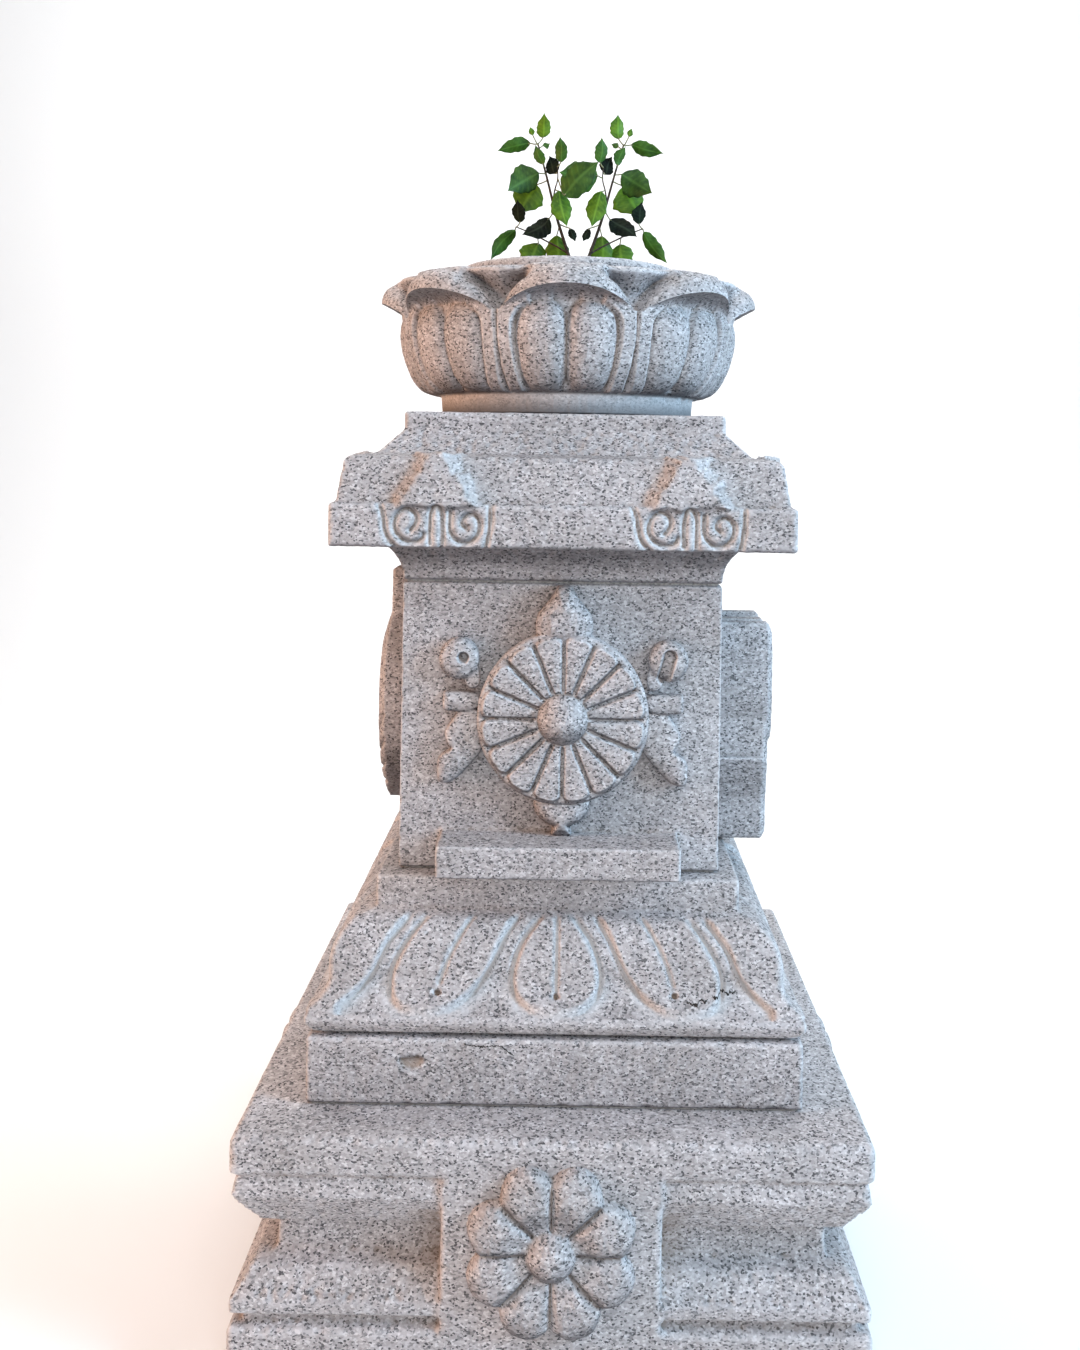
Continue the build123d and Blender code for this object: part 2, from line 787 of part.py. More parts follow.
# Half of a leaf's outline, as shares of its length and of its half width
leaf_edge = [(0.06, 0.4), (0.2, 0.85), (0.4, 1.0), (0.6, 0.88), (0.82, 0.45)]
# Two broad leaves cross in the middle, one from each inner shoot, the right one behind
middle_leaves = {
    1: ((-26.1, 113, 11), (-17, 92, 27), (16, 123, 33), 36, 8),
    -1: ((-26.2, 115, 11), (-19, 122, 18), (20, 106, 24), 34, -7),
}


def plant_point(spot, hand):
    across, up, forward = spot
    return Vector(plant_x + hand * across, -forward, soil_top + up)


def rod(start, end, r_start, r_end):
    """A round tapered rod between two points."""
    along = end - start
    plane = Plane(origin=start, z_dir=along)
    return plane * (Pos(0, 0, along.length / 2) * Cone(r_start, r_end, along.length))


def stem_run(spots, hand, r_first, r_last):
    """Tapered rods through the spots, with a round knuckle at each."""
    points = [plant_point(s, hand) for s in spots]
    last = len(points) - 1
    radii = [r_first + (r_last - r_first) * i / last for i in range(last + 1)]
    run = Part()
    for i in range(last):
        run += rod(points[i], points[i + 1], radii[i], radii[i + 1])
        run += Pos(*points[i + 1]) * Sphere(radii[i + 1])
    return run


def make_stem(hand, swell=0.0):
    foot = plant_point(main_stem[0], hand)
    buried = foot - Vector(0, 0, stem_in_soil)
    root, tip, shoot = (r + swell for r in (stem_root_radius, stem_tip_radius, shoot_radius))
    stem = rod(buried, foot, stem_foot_radius + swell, root) + Pos(*foot) * Sphere(root)
    stem += stem_run(main_stem, hand, root, tip)
    stem += stem_run(low_shoot, hand, shoot * 1.4, shoot)
    return stem + stem_run(inner_shoot, hand, shoot * 1.2, shoot)


def make_root_ball():
    """The rooted plug, with a hole for each stem."""
    plug = root_plug(0)
    for hand in (1, -1):
        foot = plant_point(main_stem[0], hand)
        plug -= Pos(foot.X, foot.Y, soil_top - stem_in_soil / 2) * Cylinder(
            stem_foot_radius + leaf_gap, stem_in_soil
        )
    return plug


def make_leaf(stalk, base, tip, width, turn, hand, stems):
    """A pointed blade on a thin square stalk that starts just clear of the stems."""
    root, heel, point = (plant_point(s, hand) for s in (stalk, base, tip))
    along = point - heel
    # the blade's face looks forward, square to its length, then turns about it
    facing = Vector(0, -1, 0).cross(along).cross(along)
    plane = Plane(origin=heel, x_dir=along, z_dir=facing.rotate(Axis(heel, along), hand * turn))
    edge = [(along.length * u, width / 2 * v) for u, v in leaf_edge]
    outline = Polyline((0, 0), *edge, (along.length, 0), *[(u, -v) for u, v in edge[::-1]], close=True)
    blade = plane * extrude(make_face(outline), amount=leaf_thick / 2, both=True)
    end = heel + along * stalk_overlap
    run = Plane(origin=root, z_dir=end - root)
    long = (end - root).length
    in_stem = (run * stalk_bar(0, stalk_bury)) & stems
    start = run.to_local_coords(in_stem).bounding_box().max.Z
    return blade + run * stalk_bar(start, long)


def stalk_bar(low, high):
    return Pos(0, 0, (low + high) / 2) * Box(petiole_width, petiole_width, high - low)


def make_leaves(hand):
    """The leaves of one stem, each a solid of its own."""
    stems = make_stem(1, leaf_gap) + make_stem(-1, leaf_gap)
    rows = [*leaves, middle_leaves[hand]]
    return Compound(children=[make_leaf(*leaf, hand, stems).solid() for leaf in rows])


# --- Beds and pins ---

def make_bed(low, half, spots):
    pad = Pos(0, 0, low + bed_thick / 2) * Box(2 * (half - bed_inset), 2 * (half - bed_inset), bed_thick)
    hole = Cylinder(pin_radius + pin_clearance, bed_thick + 2)
    for x, y in spots:
        pad -= Pos(x, y, low + bed_thick / 2) * hole
    return pad


def make_pins(bed_low, spots):
    """Pins that stand on the floor of the lower holes and reach into the stone above."""
    long = 2 * pin_depth + bed_thick
    pin = Cylinder(pin_radius, long)
    return Compound(children=[
        Pos(x, y, bed_low - pin_depth + long / 2) * pin for x, y in spots
    ])


stones = {
    "base_stone": make_base(),
    "plinth_slab": make_plinth(),
    "lotus_apron": make_apron(),
    "shaft": make_shaft(),
    "cornice": make_cornice(),
    "lotus_bowl": make_bowl(),
}
joints = {
    "base_bed": make_bed(base_height, plinth_half, plinth_spots),
    "plinth_bed": make_bed(plinth_z + plinth_height, apron_bed_half, apron_spots),
    "apron_bed": make_bed(apron_z + apron_height, shaft_half, shaft_spots),
    "shaft_bed": make_bed(shaft_z + shaft_height, shaft_half, cornice_spots),
    "base_pins": make_pins(base_height, plinth_spots),
    "plinth_pins": make_pins(plinth_z + plinth_height, apron_spots),
    "apron_pins": make_pins(apron_z + apron_height, shaft_spots),
    "shaft_pins": make_pins(shaft_z + shaft_height, cornice_spots),
}
planting = {
    "drain_screen": make_screen(),
    "gravel_layer": make_gravel(),
    "filter_cloth": filling(gravel_high, soil_low),
    "soil": filling(soil_low, soil_high) - root_plug(fill_clearance),
    "root_ball": make_root_ball(),
    "left_stem": make_stem(1),
    "right_stem": make_stem(-1),
    "left_leaves": make_leaves(1),
    "right_leaves": make_leaves(-1),
}
for name, shape in {**stones, **joints, **planting}.items():
    export_step(shape, f"parts/{name}.step")
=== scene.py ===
import bpy
import numpy as np
from math import sin, cos, pi, radians
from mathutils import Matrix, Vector, noise


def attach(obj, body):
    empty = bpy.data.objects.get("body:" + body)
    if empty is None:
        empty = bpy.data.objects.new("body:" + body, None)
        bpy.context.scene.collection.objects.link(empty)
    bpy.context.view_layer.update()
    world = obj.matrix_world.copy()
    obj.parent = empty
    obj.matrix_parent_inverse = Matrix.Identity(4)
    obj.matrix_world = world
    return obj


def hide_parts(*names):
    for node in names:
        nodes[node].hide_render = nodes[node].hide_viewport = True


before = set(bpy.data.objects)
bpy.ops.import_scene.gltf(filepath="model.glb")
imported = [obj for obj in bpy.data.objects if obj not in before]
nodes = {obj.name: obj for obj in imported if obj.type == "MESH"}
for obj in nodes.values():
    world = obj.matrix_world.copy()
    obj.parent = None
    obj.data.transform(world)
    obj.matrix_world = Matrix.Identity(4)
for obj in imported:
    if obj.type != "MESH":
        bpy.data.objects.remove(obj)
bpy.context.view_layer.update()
scene = bpy.context.scene
mm = 0.001  # sizes are in millimetres, except those of the lights


def newPiece(name, points, faces):
    mesh = bpy.data.meshes.new(name)
    mesh.from_pydata([(x * mm, y * mm, z * mm) for x, y, z in points], [], faces)
    mesh.update()
    piece = bpy.data.objects.new(name, mesh)
    scene.collection.objects.link(piece)
    return piece


def bands(rows, count, first=0, inward=False, around=True):
    # quads between neighbouring rows of points, each row with the same count
    faces = []
    for i in range(rows - 1):
        for k in range(count if around else count - 1):
            a, b = first + i * count + k, first + i * count + (k + 1) % count
            faces.append((a, a + count, b + count, b) if inward else (a, b, b + count, a + count))
    return faces


def closedBands(rows, count, inward=False):
    # the same with a face over each end
    last = (rows - 1) * count
    ends = [tuple(range(count)), tuple(range(last, last + count))[::-1]]
    return bands(rows, count, 0, inward) + [end if inward else end[::-1] for end in ends]


def discFaces(rings, count):
    # a fan round the first point, the rings about it, and the back
    faces = [(0, 1 + k, 1 + (k + 1) % count) for k in range(count)]
    return faces + bands(rings + 1, count, 1, True) + [tuple(1 + rings * count + k for k in range(count))]


def addNode(tree, kind, inputs, **settings):
    # a shader node, with its inputs as values or as other nodes' outputs
    made = tree.nodes.new("ShaderNode" + kind)
    for key, value in settings.items():
        setattr(made, key, value)
    for socket, value in inputs.items():
        if isinstance(value, bpy.types.NodeSocket):
            tree.links.new(value, made.inputs[socket])
        else:
            made.inputs[socket].default_value = value
    return made


def newMaterial(name, roughness):
    made = bpy.data.materials.new(name)
    made.use_nodes = True
    shader = made.node_tree.nodes["Principled BSDF"]
    shader.inputs["Roughness"].default_value = roughness
    return made, made.node_tree, shader


view = {"across": 12, "back": -1467, "height": 896, "roll": -0.0158, "lens": 32.94,
        "shiftX": -0.0269, "shiftY": -0.1667}
lens = bpy.data.cameras.new("viewer")
lens.lens, lens.sensor_width = view["lens"], 36
lens.shift_x, lens.shift_y = view["shiftX"], view["shiftY"]
viewer = bpy.data.objects.new("viewer", lens)
viewer.location = (view["across"] * mm, view["back"] * mm, view["height"] * mm)
viewer.rotation_euler = (pi / 2, view["roll"], 0)
scene.collection.objects.link(viewer)
scene.camera = viewer

studio = {
    "halfWidth": 3000, "front": -3000, "bend": 2600, "bendRadius": 1500, "bendSteps": 16, "top": 5200,
    "floorColour": (0.86, 0.86, 0.855), "floorRoughness": 0.9,
    # the sky is dim as a light and pale where it is seen
    "skyColour": (0.95, 0.97, 1.0), "skyLight": 0.18, "skySeen": 0.95,
    # place, aim, size, power and colour of each light, in metres and watts
    "lights": {
        "topLight": ((0.1, -2.4, 3.9), (0, 0, 0.7), (2.6, 2.0), 51, (0.99, 0.985, 0.99)),
        "frontLight": ((0.3, -3.6, 1.5), (0, 0, 0.7), (2.4, 1.4), 35, (0.975, 0.99, 0.995)),
        "warmLight": ((-2.75, -0.85, 1.1), (0, 0, 0.75), (0.8, 1.8), 52, (1.0, 0.48, 0.22)),
        "coolLight": ((2.6, -1.3, 1.6), (0, 0, 0.75), (0.8, 1.8), 92, (0.45, 0.74, 1.0)),
        "backdropLight": ((0, 0.9, 3.6), (0, 3.6, 0.6), (4.5, 1.2), 165, (1, 1, 1)),
    },
}


def makeFloor():
    bend, radius, half = studio["bend"], studio["bendRadius"], studio["halfWidth"]
    rows = [(studio["front"], 0), (bend, 0)]
    for i in range(1, studio["bendSteps"] + 1):
        a = pi / 2 * i / studio["bendSteps"]
        rows.append((bend + radius * sin(a), radius * (1 - cos(a))))
    rows.append((bend + radius, studio["top"]))
    floor = newPiece("floor", [(x, y, z) for y, z in rows for x in (-half, half)],
                     bands(len(rows), 2, around=False))
    floor.data.shade_smooth()
    paint, tree, shader = newMaterial("floorPaint", studio["floorRoughness"])
    shader.inputs["Base Color"].default_value = (*studio["floorColour"], 1)
    floor.data.materials.append(paint)


def makeSky():
    sky = bpy.data.worlds.new("sky")
    scene.world = sky
    sky.use_nodes = True
    background = sky.node_tree.nodes["Background"]
    background.inputs["Color"].default_value = (*studio["skyColour"], 1)
    seen = addNode(sky.node_tree, "LightPath", {}).outputs["Is Camera Ray"]
    strength = addNode(sky.node_tree, "MapRange",
                       {"Value": seen, "To Min": studio["skyLight"], "To Max": studio["skySeen"]})
    sky.node_tree.links.new(strength.outputs[0], background.inputs["Strength"])


def makeLight(name, place, aim, size, power, colour):
    lamp = bpy.data.lights.new(name, "AREA")
    lamp.shape, lamp.size, lamp.size_y = "RECTANGLE", size[0], size[1]
    lamp.energy, lamp.color = power, colour
    light = bpy.data.objects.new(name, lamp)
    light.location = place
    light.rotation_euler = (Vector(aim) - Vector(place)).to_track_quat("-Z", "Y").to_euler()
    scene.collection.objects.link(light)


makeFloor()
makeSky()
for lightName, lightSettings in studio["lights"].items():
    makeLight(lightName, *lightSettings)
scene.view_settings.view_transform = "Standard"
print("studio ready")


def ramp(tree, value, stops, constant=False):
    # colours by value
    made = addNode(tree, "ValToRGB", {0: value})
    if constant:
        made.color_ramp.interpolation = "CONSTANT"
    while len(made.color_ramp.elements) < len(stops):
        made.color_ramp.elements.new(0.5)
    for element, (place, colour) in zip(made.color_ramp.elements, stops):
        element.position = place
        element.color = (*colour, 1)
    return made.outputs[0]


def mixColour(tree, kind, factor, first, second):
    if isinstance(second, tuple):
        second = (*second, 1)
    return addNode(tree, "Mix", {0: factor, 6: first, 7: second}, data_type="RGBA", blend_type=kind).outputs[2]


def partOf(tree, value, share):
    return addNode(tree, "Math", {0: value, 1: share}, operation="MULTIPLY").outputs[0]


def pointValue(tree, name):
    # what mark() has written on the piece's points
    return addNode(tree, "Attribute", {}, attribute_name=name).outputs["Fac"]


def cloudy(tree, place, scale, detail, roughness=0.5):
    return addNode(tree, "TexNoise",
                   {"Vector": place, "Scale": scale, "Detail": detail, "Roughness": roughness})


def addBump(tree, shader, height, strength, depth):
    bump = addNode(tree, "Bump", {"Strength": strength, "Distance": depth * mm, "Height": height})
    tree.links.new(bump.outputs[0], shader.inputs["Normal"])


black, white = (0, 0, 0), (1, 1, 1)
granite = {
    "grain": 2.0, "wobble": 0.8, "flake": 1.6, "stretch": (0.8, 0.8, 1.15), "blotch": 72, "roughness": 0.78,
    "minerals": [(0.0, (0.13, 0.127, 0.132)), (0.05, (0.25, 0.24, 0.243)), (0.17, (0.37, 0.35, 0.353)),
                 (0.42, (0.44, 0.42, 0.424)), (0.7, (0.51, 0.49, 0.497)), (0.9, (0.62, 0.605, 0.61))],
    "flakeColour": (0.075, 0.073, 0.078), "flakeShare": 0.08,
    "drift": [(0.3, (0.86, 0.84, 0.83)), (0.7, (1.08, 1.07, 1.08))],
    # bruised edges, painted shade in the hollows (tinted brown) and pale fresh chisel cuts, which also carry
    # painted light on some pieces, each with its strength
    "edgeColour": (0.68, 0.67, 0.685), "edge": 0.5,
    "hollowColour": (0.2, 0.155, 0.12), "hollow": 0.6,
    "cutColour": (0.72, 0.72, 0.735), "cut": 0.6,
    # brown where a stain or painted shade is faint, soot black where it is full
    "stainAndShade": [(0.45, (0.24, 0.165, 0.11)), (0.95, (0.02, 0.018, 0.016))],
    "stainCover": [(0.0, black), (0.4, (0.7, 0.7, 0.7)), (0.8, white)],
    "undersideShadeColour": (0.33, 0.325, 0.335),
    "peckScale": 420, "peckRoughness": 0.65, "bump": 0.35, "bumpDepth": 0.9,
}


def makeGranite(name, shadeFrom, shadeTo):
    # painted shade: the stone gets darker as a face's upward turn falls from the first given value to the
    # second
    made, tree, shader = newMaterial(name, granite["roughness"])
    place = addNode(tree, "TexCoord", {}).outputs["Object"]
    # the grains' edges wander, so they don't look like straight-sided cells
    wander = cloudy(tree, place, 1000 / (granite["grain"] * 1.2), 1.5)
    drawn = addNode(tree, "VectorMath", {0: place, 1: granite["stretch"]}, operation="MULTIPLY")
    shift = addNode(tree, "VectorMath", {0: wander.outputs["Color"], 1: (granite["wobble"] * 2 * mm,) * 3,
                                         2: drawn.outputs[0]}, operation="MULTIPLY_ADD")

    def cells(size, channel):
        # one value for each grain
        cell = addNode(tree, "TexVoronoi", {"Scale": 1000 / size, "Vector": shift.outputs[0]})
        return addNode(tree, "SeparateColor", {0: cell.outputs["Color"]}).outputs[channel]

    colour = ramp(tree, cells(granite["grain"], 0), granite["minerals"], True)
    isFlake = addNode(tree, "Math", {0: cells(granite["flake"], 1), 1: granite["flakeShare"]},
                      operation="LESS_THAN")
    colour = mixColour(tree, "MIX", isFlake.outputs[0], colour, granite["flakeColour"])
    # slow drifts of tone through the block
    drift = cloudy(tree, place, 1000 / granite["blotch"], 3)
    colour = mixColour(tree, "MULTIPLY", 1.0, colour, ramp(tree, drift.outputs["Fac"], granite["drift"]))
    edge = addNode(tree, "NewGeometry", {}).outputs["Pointiness"]
    # high pointiness pales the bruised edges; low pointiness puts painted shade, tinted brown, into the hollows
    for kind, value in (("edge", ramp(tree, edge, [(0.512, black), (0.56, white)])),
                        ("hollow", ramp(tree, edge, [(0.43, white), (0.49, black)])),
                        ("cut", pointValue(tree, "paleCutAndLight"))):
        colour = mixColour(tree, "MIX", partOf(tree, value, granite[kind]), colour, granite[kind + "Colour"])
    stainAndShade = pointValue(tree, "stainAndShade")
    colour = mixColour(tree, "MIX", ramp(tree, stainAndShade, granite["stainCover"]), colour,
                       ramp(tree, stainAndShade, granite["stainAndShade"]))
    # painted shade: faces that turn down are darkened, as if in shadow
    turned = addNode(tree, "SeparateXYZ", {0: addNode(tree, "NewGeometry", {}).outputs["Normal"]})
    undersideShade = addNode(tree, "MapRange", {"Value": turned.outputs["Z"], "From Min": shadeFrom, "From Max": shadeTo},
                   clamp=True)
    colour = mixColour(tree, "MULTIPLY", undersideShade.outputs[0], colour, granite["undersideShadeColour"])
    tree.links.new(colour, shader.inputs["Base Color"])
    peck = cloudy(tree, place, granite["peckScale"], 4, granite["peckRoughness"])
    addBump(tree, shader, peck.outputs["Fac"], granite["bump"], granite["bumpDepth"])
    return made


def makeGrit(name, dark, light, size, roughness=0.9, metallic=0.0, bump=0.4):
    made, tree, shader = newMaterial(name, roughness)
    shader.inputs["Metallic"].default_value = metallic
    place = addNode(tree, "TexCoord", {}).outputs["Object"]
    grit = cloudy(tree, place, 1000 / size, 6).outputs["Fac"]
    tree.links.new(ramp(tree, grit, [(0.35, dark), (0.65, light)]), shader.inputs["Base Color"])
    addBump(tree, shader, grit, bump, size * 0.2)
    return made


# copies of one granite that differ only in painted shade on downward faces: most stones darken from a level
# face down, the bowl only on steep undersides
graniteStone = makeGranite("graniteStone", 0.05, -0.5)
bowlGranite = makeGranite("bowlGranite", -0.3, -0.9)
# this one has no painted shade, since no face turns down so far
unshadedGranite = makeGranite("unshadedGranite", -1.1, -1.2)
limeMortar = makeGrit("limeMortar", (0.2, 0.19, 0.18), (0.42, 0.4, 0.38), 3)
steelPin = makeGrit("steelPin", (0.42, 0.42, 0.43), (0.62, 0.62, 0.63), 0.8, 0.35, 1.0, 0.1)
riverGravel = makeGrit("riverGravel", (0.2, 0.18, 0.16), (0.52, 0.49, 0.45), 7)
feltCloth = makeGrit("feltCloth", (0.07, 0.07, 0.07), (0.17, 0.17, 0.17), 0.9)
pottingSoil = makeGrit("pottingSoil", (0.028, 0.018, 0.011), (0.11, 0.07, 0.042), 4, bump=0.8)
stemBark = makeGrit("stemBark", (0.018, 0.012, 0.008), (0.075, 0.05, 0.032), 3)
sootMark = makeGrit("sootMark", (0.012, 0.011, 0.01), (0.05, 0.045, 0.04), 1.5)
greenTwig = makeGrit("greenTwig", (0.1, 0.12, 0.045), (0.3, 0.3, 0.16), 3)
for hidden, finish in (("base_bed plinth_bed apron_bed shaft_bed", limeMortar),
                       ("base_pins plinth_pins apron_pins shaft_pins drain_screen", steelPin),
                       ("gravel_layer", riverGravel), ("filter_cloth", feltCloth)):
    for node in hidden.split():
        nodes[node].data.materials.clear()
        nodes[node].data.materials.append(finish)
print("materials ready")


def settle(piece):
    # the modifiers' result becomes the piece's own mesh
    result = bpy.data.meshes.new_from_object(piece.evaluated_get(bpy.context.evaluated_depsgraph_get()))
    piece.modifiers.clear()
    old, piece.data = piece.data, result
    bpy.data.meshes.remove(old)


def readPoints(piece):
    flat = np.empty(len(piece.data.vertices) * 3)
    piece.data.vertices.foreach_get("co", flat)
    return flat.reshape(-1, 3) / mm


def readNormals(piece):
    flat = np.empty(len(piece.data.vertices) * 3)
    piece.data.vertex_normals.foreach_get("vector", flat)
    return flat.reshape(-1, 3)


def writePoints(piece, points):
    piece.data.vertices.foreach_set("co", (points * mm).ravel())
    piece.data.update()


def mark(piece, name, amount):
    # a value per point that a finish reads: on stone the pale of fresh chisel cuts with some painted light, and
    # stains with some painted shade; on leaves the veins
    layer = piece.data.attributes.get(name) or piece.data.attributes.new(name, "FLOAT", "POINT")
    layer.data.foreach_set("value", np.clip(amount, 0, 1))


def arc(start, via, end, steps=8):
    # points on the circle through three points, from start to end
    first, second, third = complex(*start), complex(*via), complex(*end)
    ratio = (third - first) / (second - first)
    centre = first + (second - first) * (ratio - abs(ratio) ** 2) / (2j * ratio.imag)
    a1, a2, a3 = (np.angle(spot - centre) for spot in (first, second, third))
    sweep = (a3 - a1) % (2 * pi)
    if (a2 - a1) % (2 * pi) > sweep:
        sweep -= 2 * pi
    r = abs(first - centre)
    return [(centre.real + r * cos(a1 + sweep * i / steps), centre.imag + r * sin(a1 + sweep * i / steps))
            for i in range(steps + 1)]


def rounded(points, rounds=2, closed=False):
    # corner cutting, which keeps the ends of an open line
    for _ in range(rounds):
        pairs = list(zip(points, points[1:] + points[:1] if closed else points[1:]))
        new = [] if closed else [points[0]]
        for a, b in pairs:
            new.append(tuple(p * 0.75 + q * 0.25 for p, q in zip(a, b)))
            new.append(tuple(p * 0.25 + q * 0.75 for p, q in zip(a, b)))
        points = new if closed else new + [points[-1]]
    return points


def turnSide(x, y, side):
    # a front point turned to side 0 front, 1 right, 2 back, 3 left
    return ((x, y), (-y, x), (-x, -y), (y, -x))[side]


def squareForm(profile, base=0):
    # closed stone with the same profile (half width, height) on four mitred sides
    points = [(x * half, y * half, base + height) for half, height in profile
              for x, y in ((-1, -1), (1, -1), (1, 1), (-1, 1))]
    return points, closedBands(len(profile), 4)


domeRings = ((0.8, 0.45), (0.5, 0.85), (0.2, 1.0))  # size and rise of the rings on a domed block
insetFrom = 40  # half size of the blocks that an inset is meant for


def faceBlock(outline, low, high, reach, height, side=0, dome=0, inset=0.0):
    # a block standing on a stone's face: outline as (across, up), low and high as heights
    # out of the face; dome raises its middle, and inset draws its top edge in
    middle = [sum(column) / len(outline) for column in zip(*outline)]
    rings = [(1.0, low), (1.0, high - inset), (1 - inset / insetFrom, high)]
    if dome:
        rings += [(share, high + dome * rise) for share, rise in domeRings]
    points = []
    for share, out in rings:
        for u, v in outline:
            u, v = middle[0] + (u - middle[0]) * share, middle[1] + (v - middle[1]) * share
            points.append((*turnSide(u, -reach - out, side), height + v))
    return points, closedBands(len(rings), len(outline))


def boxForm(low, high):
    (x0, y0, z0), (x1, y1, z1) = low, high
    points = [(x, y, z) for z in (z0, z1) for x, y in ((x0, y0), (x1, y0), (x1, y1), (x0, y1))]
    return points, [(3, 2, 1, 0), (4, 5, 6, 7), (0, 1, 5, 4), (1, 2, 6, 5), (2, 3, 7, 6), (3, 0, 4, 7)]


def together(forms):
    points, faces = [], []
    for somePoints, someFaces in forms:
        faces += [tuple(i + len(points) for i in face) for face in someFaces]
        points += somePoints
    return points, faces


def soften(piece, rounds):
    smooth = piece.modifiers.new("soften", "SMOOTH")
    smooth.factor, smooth.iterations = 0.5, rounds


def fused(name, forms, voxel, rounds=2):
    # one closed skin over all the forms, with softened arrises
    piece = newPiece(name, *together(forms))
    remesh = piece.modifiers.new("fuse", "REMESH")
    remesh.mode, remesh.voxel_size = "VOXEL", voxel * mm
    soften(piece, rounds)
    settle(piece)
    return piece


def weather(piece, coarse, fine, size=14):
    # hammer-dressed unevenness: height of the coarse and the fine marks, and the coarse ones' size
    for name, amount, scale in (("coarse", coarse, size), ("fine", fine, size / 4)):
        clouds = bpy.data.textures.new(name, "CLOUDS")
        clouds.noise_scale = scale * mm
        push = piece.modifiers.new(name, "DISPLACE")
        push.texture, push.texture_coords = clouds, "LOCAL"
        push.strength, push.mid_level = amount * mm * 2, 0.5
    settle(piece)


def ripple(*spot):
    # smooth noise, about -1 to 1, with waves one unit long
    return noise.noise(Vector(spot))


def chipEdges(piece, depth=1.8, size=9):
    # small bites out of the arrises of a square stone
    points, normals = readPoints(piece), readNormals(piece)
    edge = np.clip((0.95 - np.abs(normals).max(axis=1)) * 6, 0, 1)
    for i in np.nonzero(edge > 0.1)[0]:
        bite = ripple(*points[i] / size) + 0.6 * ripple(*points[i] / size * 2.7)
        points[i] -= normals[i] * edge[i] * depth * max(0, bite - 0.05)
    writePoints(piece, points)


def lighten(piece, faces=195000):
    # fewer triangles where the stone is flat
    count = len(piece.data.polygons) * 2
    if count > faces:
        fewer = piece.modifiers.new("fewer", "DECIMATE")
        fewer.ratio = faces / count
        settle(piece)


def finishPiece(piece, body, replaced, materials=(graniteStone,)):
    for material in materials:
        piece.data.materials.append(material)
    piece.data.shade_smooth()
    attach(piece, body)
    if replaced:
        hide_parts(*replaced)
    print(piece.name, len(piece.data.polygons), "faces")


def facePlaces(points):
    # which side each point is on, and its (across, up, out) on that side
    x, y, z = points.T
    side = np.where(np.abs(x) > np.abs(y), np.where(x > 0, 1, 3), np.where(y < 0, 0, 2))
    across = np.choose(side, [x, y, -x, -y])
    out = np.choose(side, [-y, x, y, -x])
    return side, across, z, out


def lineDistance(u, v, line, closed=False):
    best = np.full(len(u), 1e9)
    ends = line[1:] + line[:1] if closed else line[1:]
    for (ax, ay), (bx, by) in zip(line, ends):
        dx, dy = bx - ax, by - ay
        t = np.clip(((u - ax) * dx + (v - ay) * dy) / (dx * dx + dy * dy + 1e-9), 0, 1)
        best = np.minimum(best, np.hypot(u - ax - t * dx, v - ay - t * dy))
    return best


def nearLines(u, v, lines, full, none, closed=False):
    # 1 up to one distance from the nearest line, falling to 0 at the other
    return 1 - step(np.min([lineDistance(u, v, line, closed) for line in lines], axis=0), full, none)


def isInside(u, v, ring):
    inside = np.zeros(len(u), bool)
    for (ax, ay), (bx, by) in zip(ring, ring[1:] + ring[:1]):
        crosses = (ay > v) != (by > v)
        with np.errstate(divide="ignore", invalid="ignore"):
            inside ^= crosses & (u < (bx - ax) * (v - ay) / (by - ay + 1e-12) + ax)
    return inside


def ragged(ring, parts=5, amount=7, shift=0.0):
    # a closed outline with more points, each moved a little
    fine = []
    for (ax, ay), (bx, by) in zip(ring, ring[1:] + ring[:1]):
        for i in range(parts):
            u, v = ax + (bx - ax) * i / parts, ay + (by - ay) * i / parts
            fine.append((u + amount * ripple(u / 6, v / 6, shift),
                         v + amount * ripple(u / 6, v / 6, shift + 7.5)))
    return fine


def circle(radius, count, across=0, up=0):
    return [(across + radius * cos(2 * pi * k / count), up + radius * sin(2 * pi * k / count))
            for k in range(count)]


def mirrored(line):
    return [(-u, v) for u, v in line]


def bothHalves(half):
    return half + mirrored(half)[::-1]


def step(value, low, high):
    # eases from 0 at low to 1 at high
    t = np.clip((value - low) / (high - low), 0, 1)
    return t * t * (3 - 2 * t)


pedestal = {
    "half": 305, "voxel": 2.7, "faces": 190000, "chipDepth": 2.6, "chipSize": 7, "dressing": (0.45, 0.3),
    # half width and height, from the ground up
    "profile": [(305, 0), (305, 64), (293, 64), (293, 76), (303, 76), (304, 89), (298, 94), (293, 103),
                (289, 111), (285, 114), (270, 116), (266, 120), (266, 151), (280, 152), (283, 157), (301, 184),
                (303, 188), (300, 204), (294, 205), (294, 209), (305, 209), (305, 240), (301, 244)],
    "panelHalf": 104.5, "panelLow": 32, "panelHigh": 226,
    # rust-brown dirt in the recess beside the centre panels, by distance from them and by height
    "dirt": 0.2, "dirtCentre": 8, "dirtWidth": 16, "dirtDepth": 12,
    "dirtStart": (92, 120), "dirtEnd": (165, 185),
}


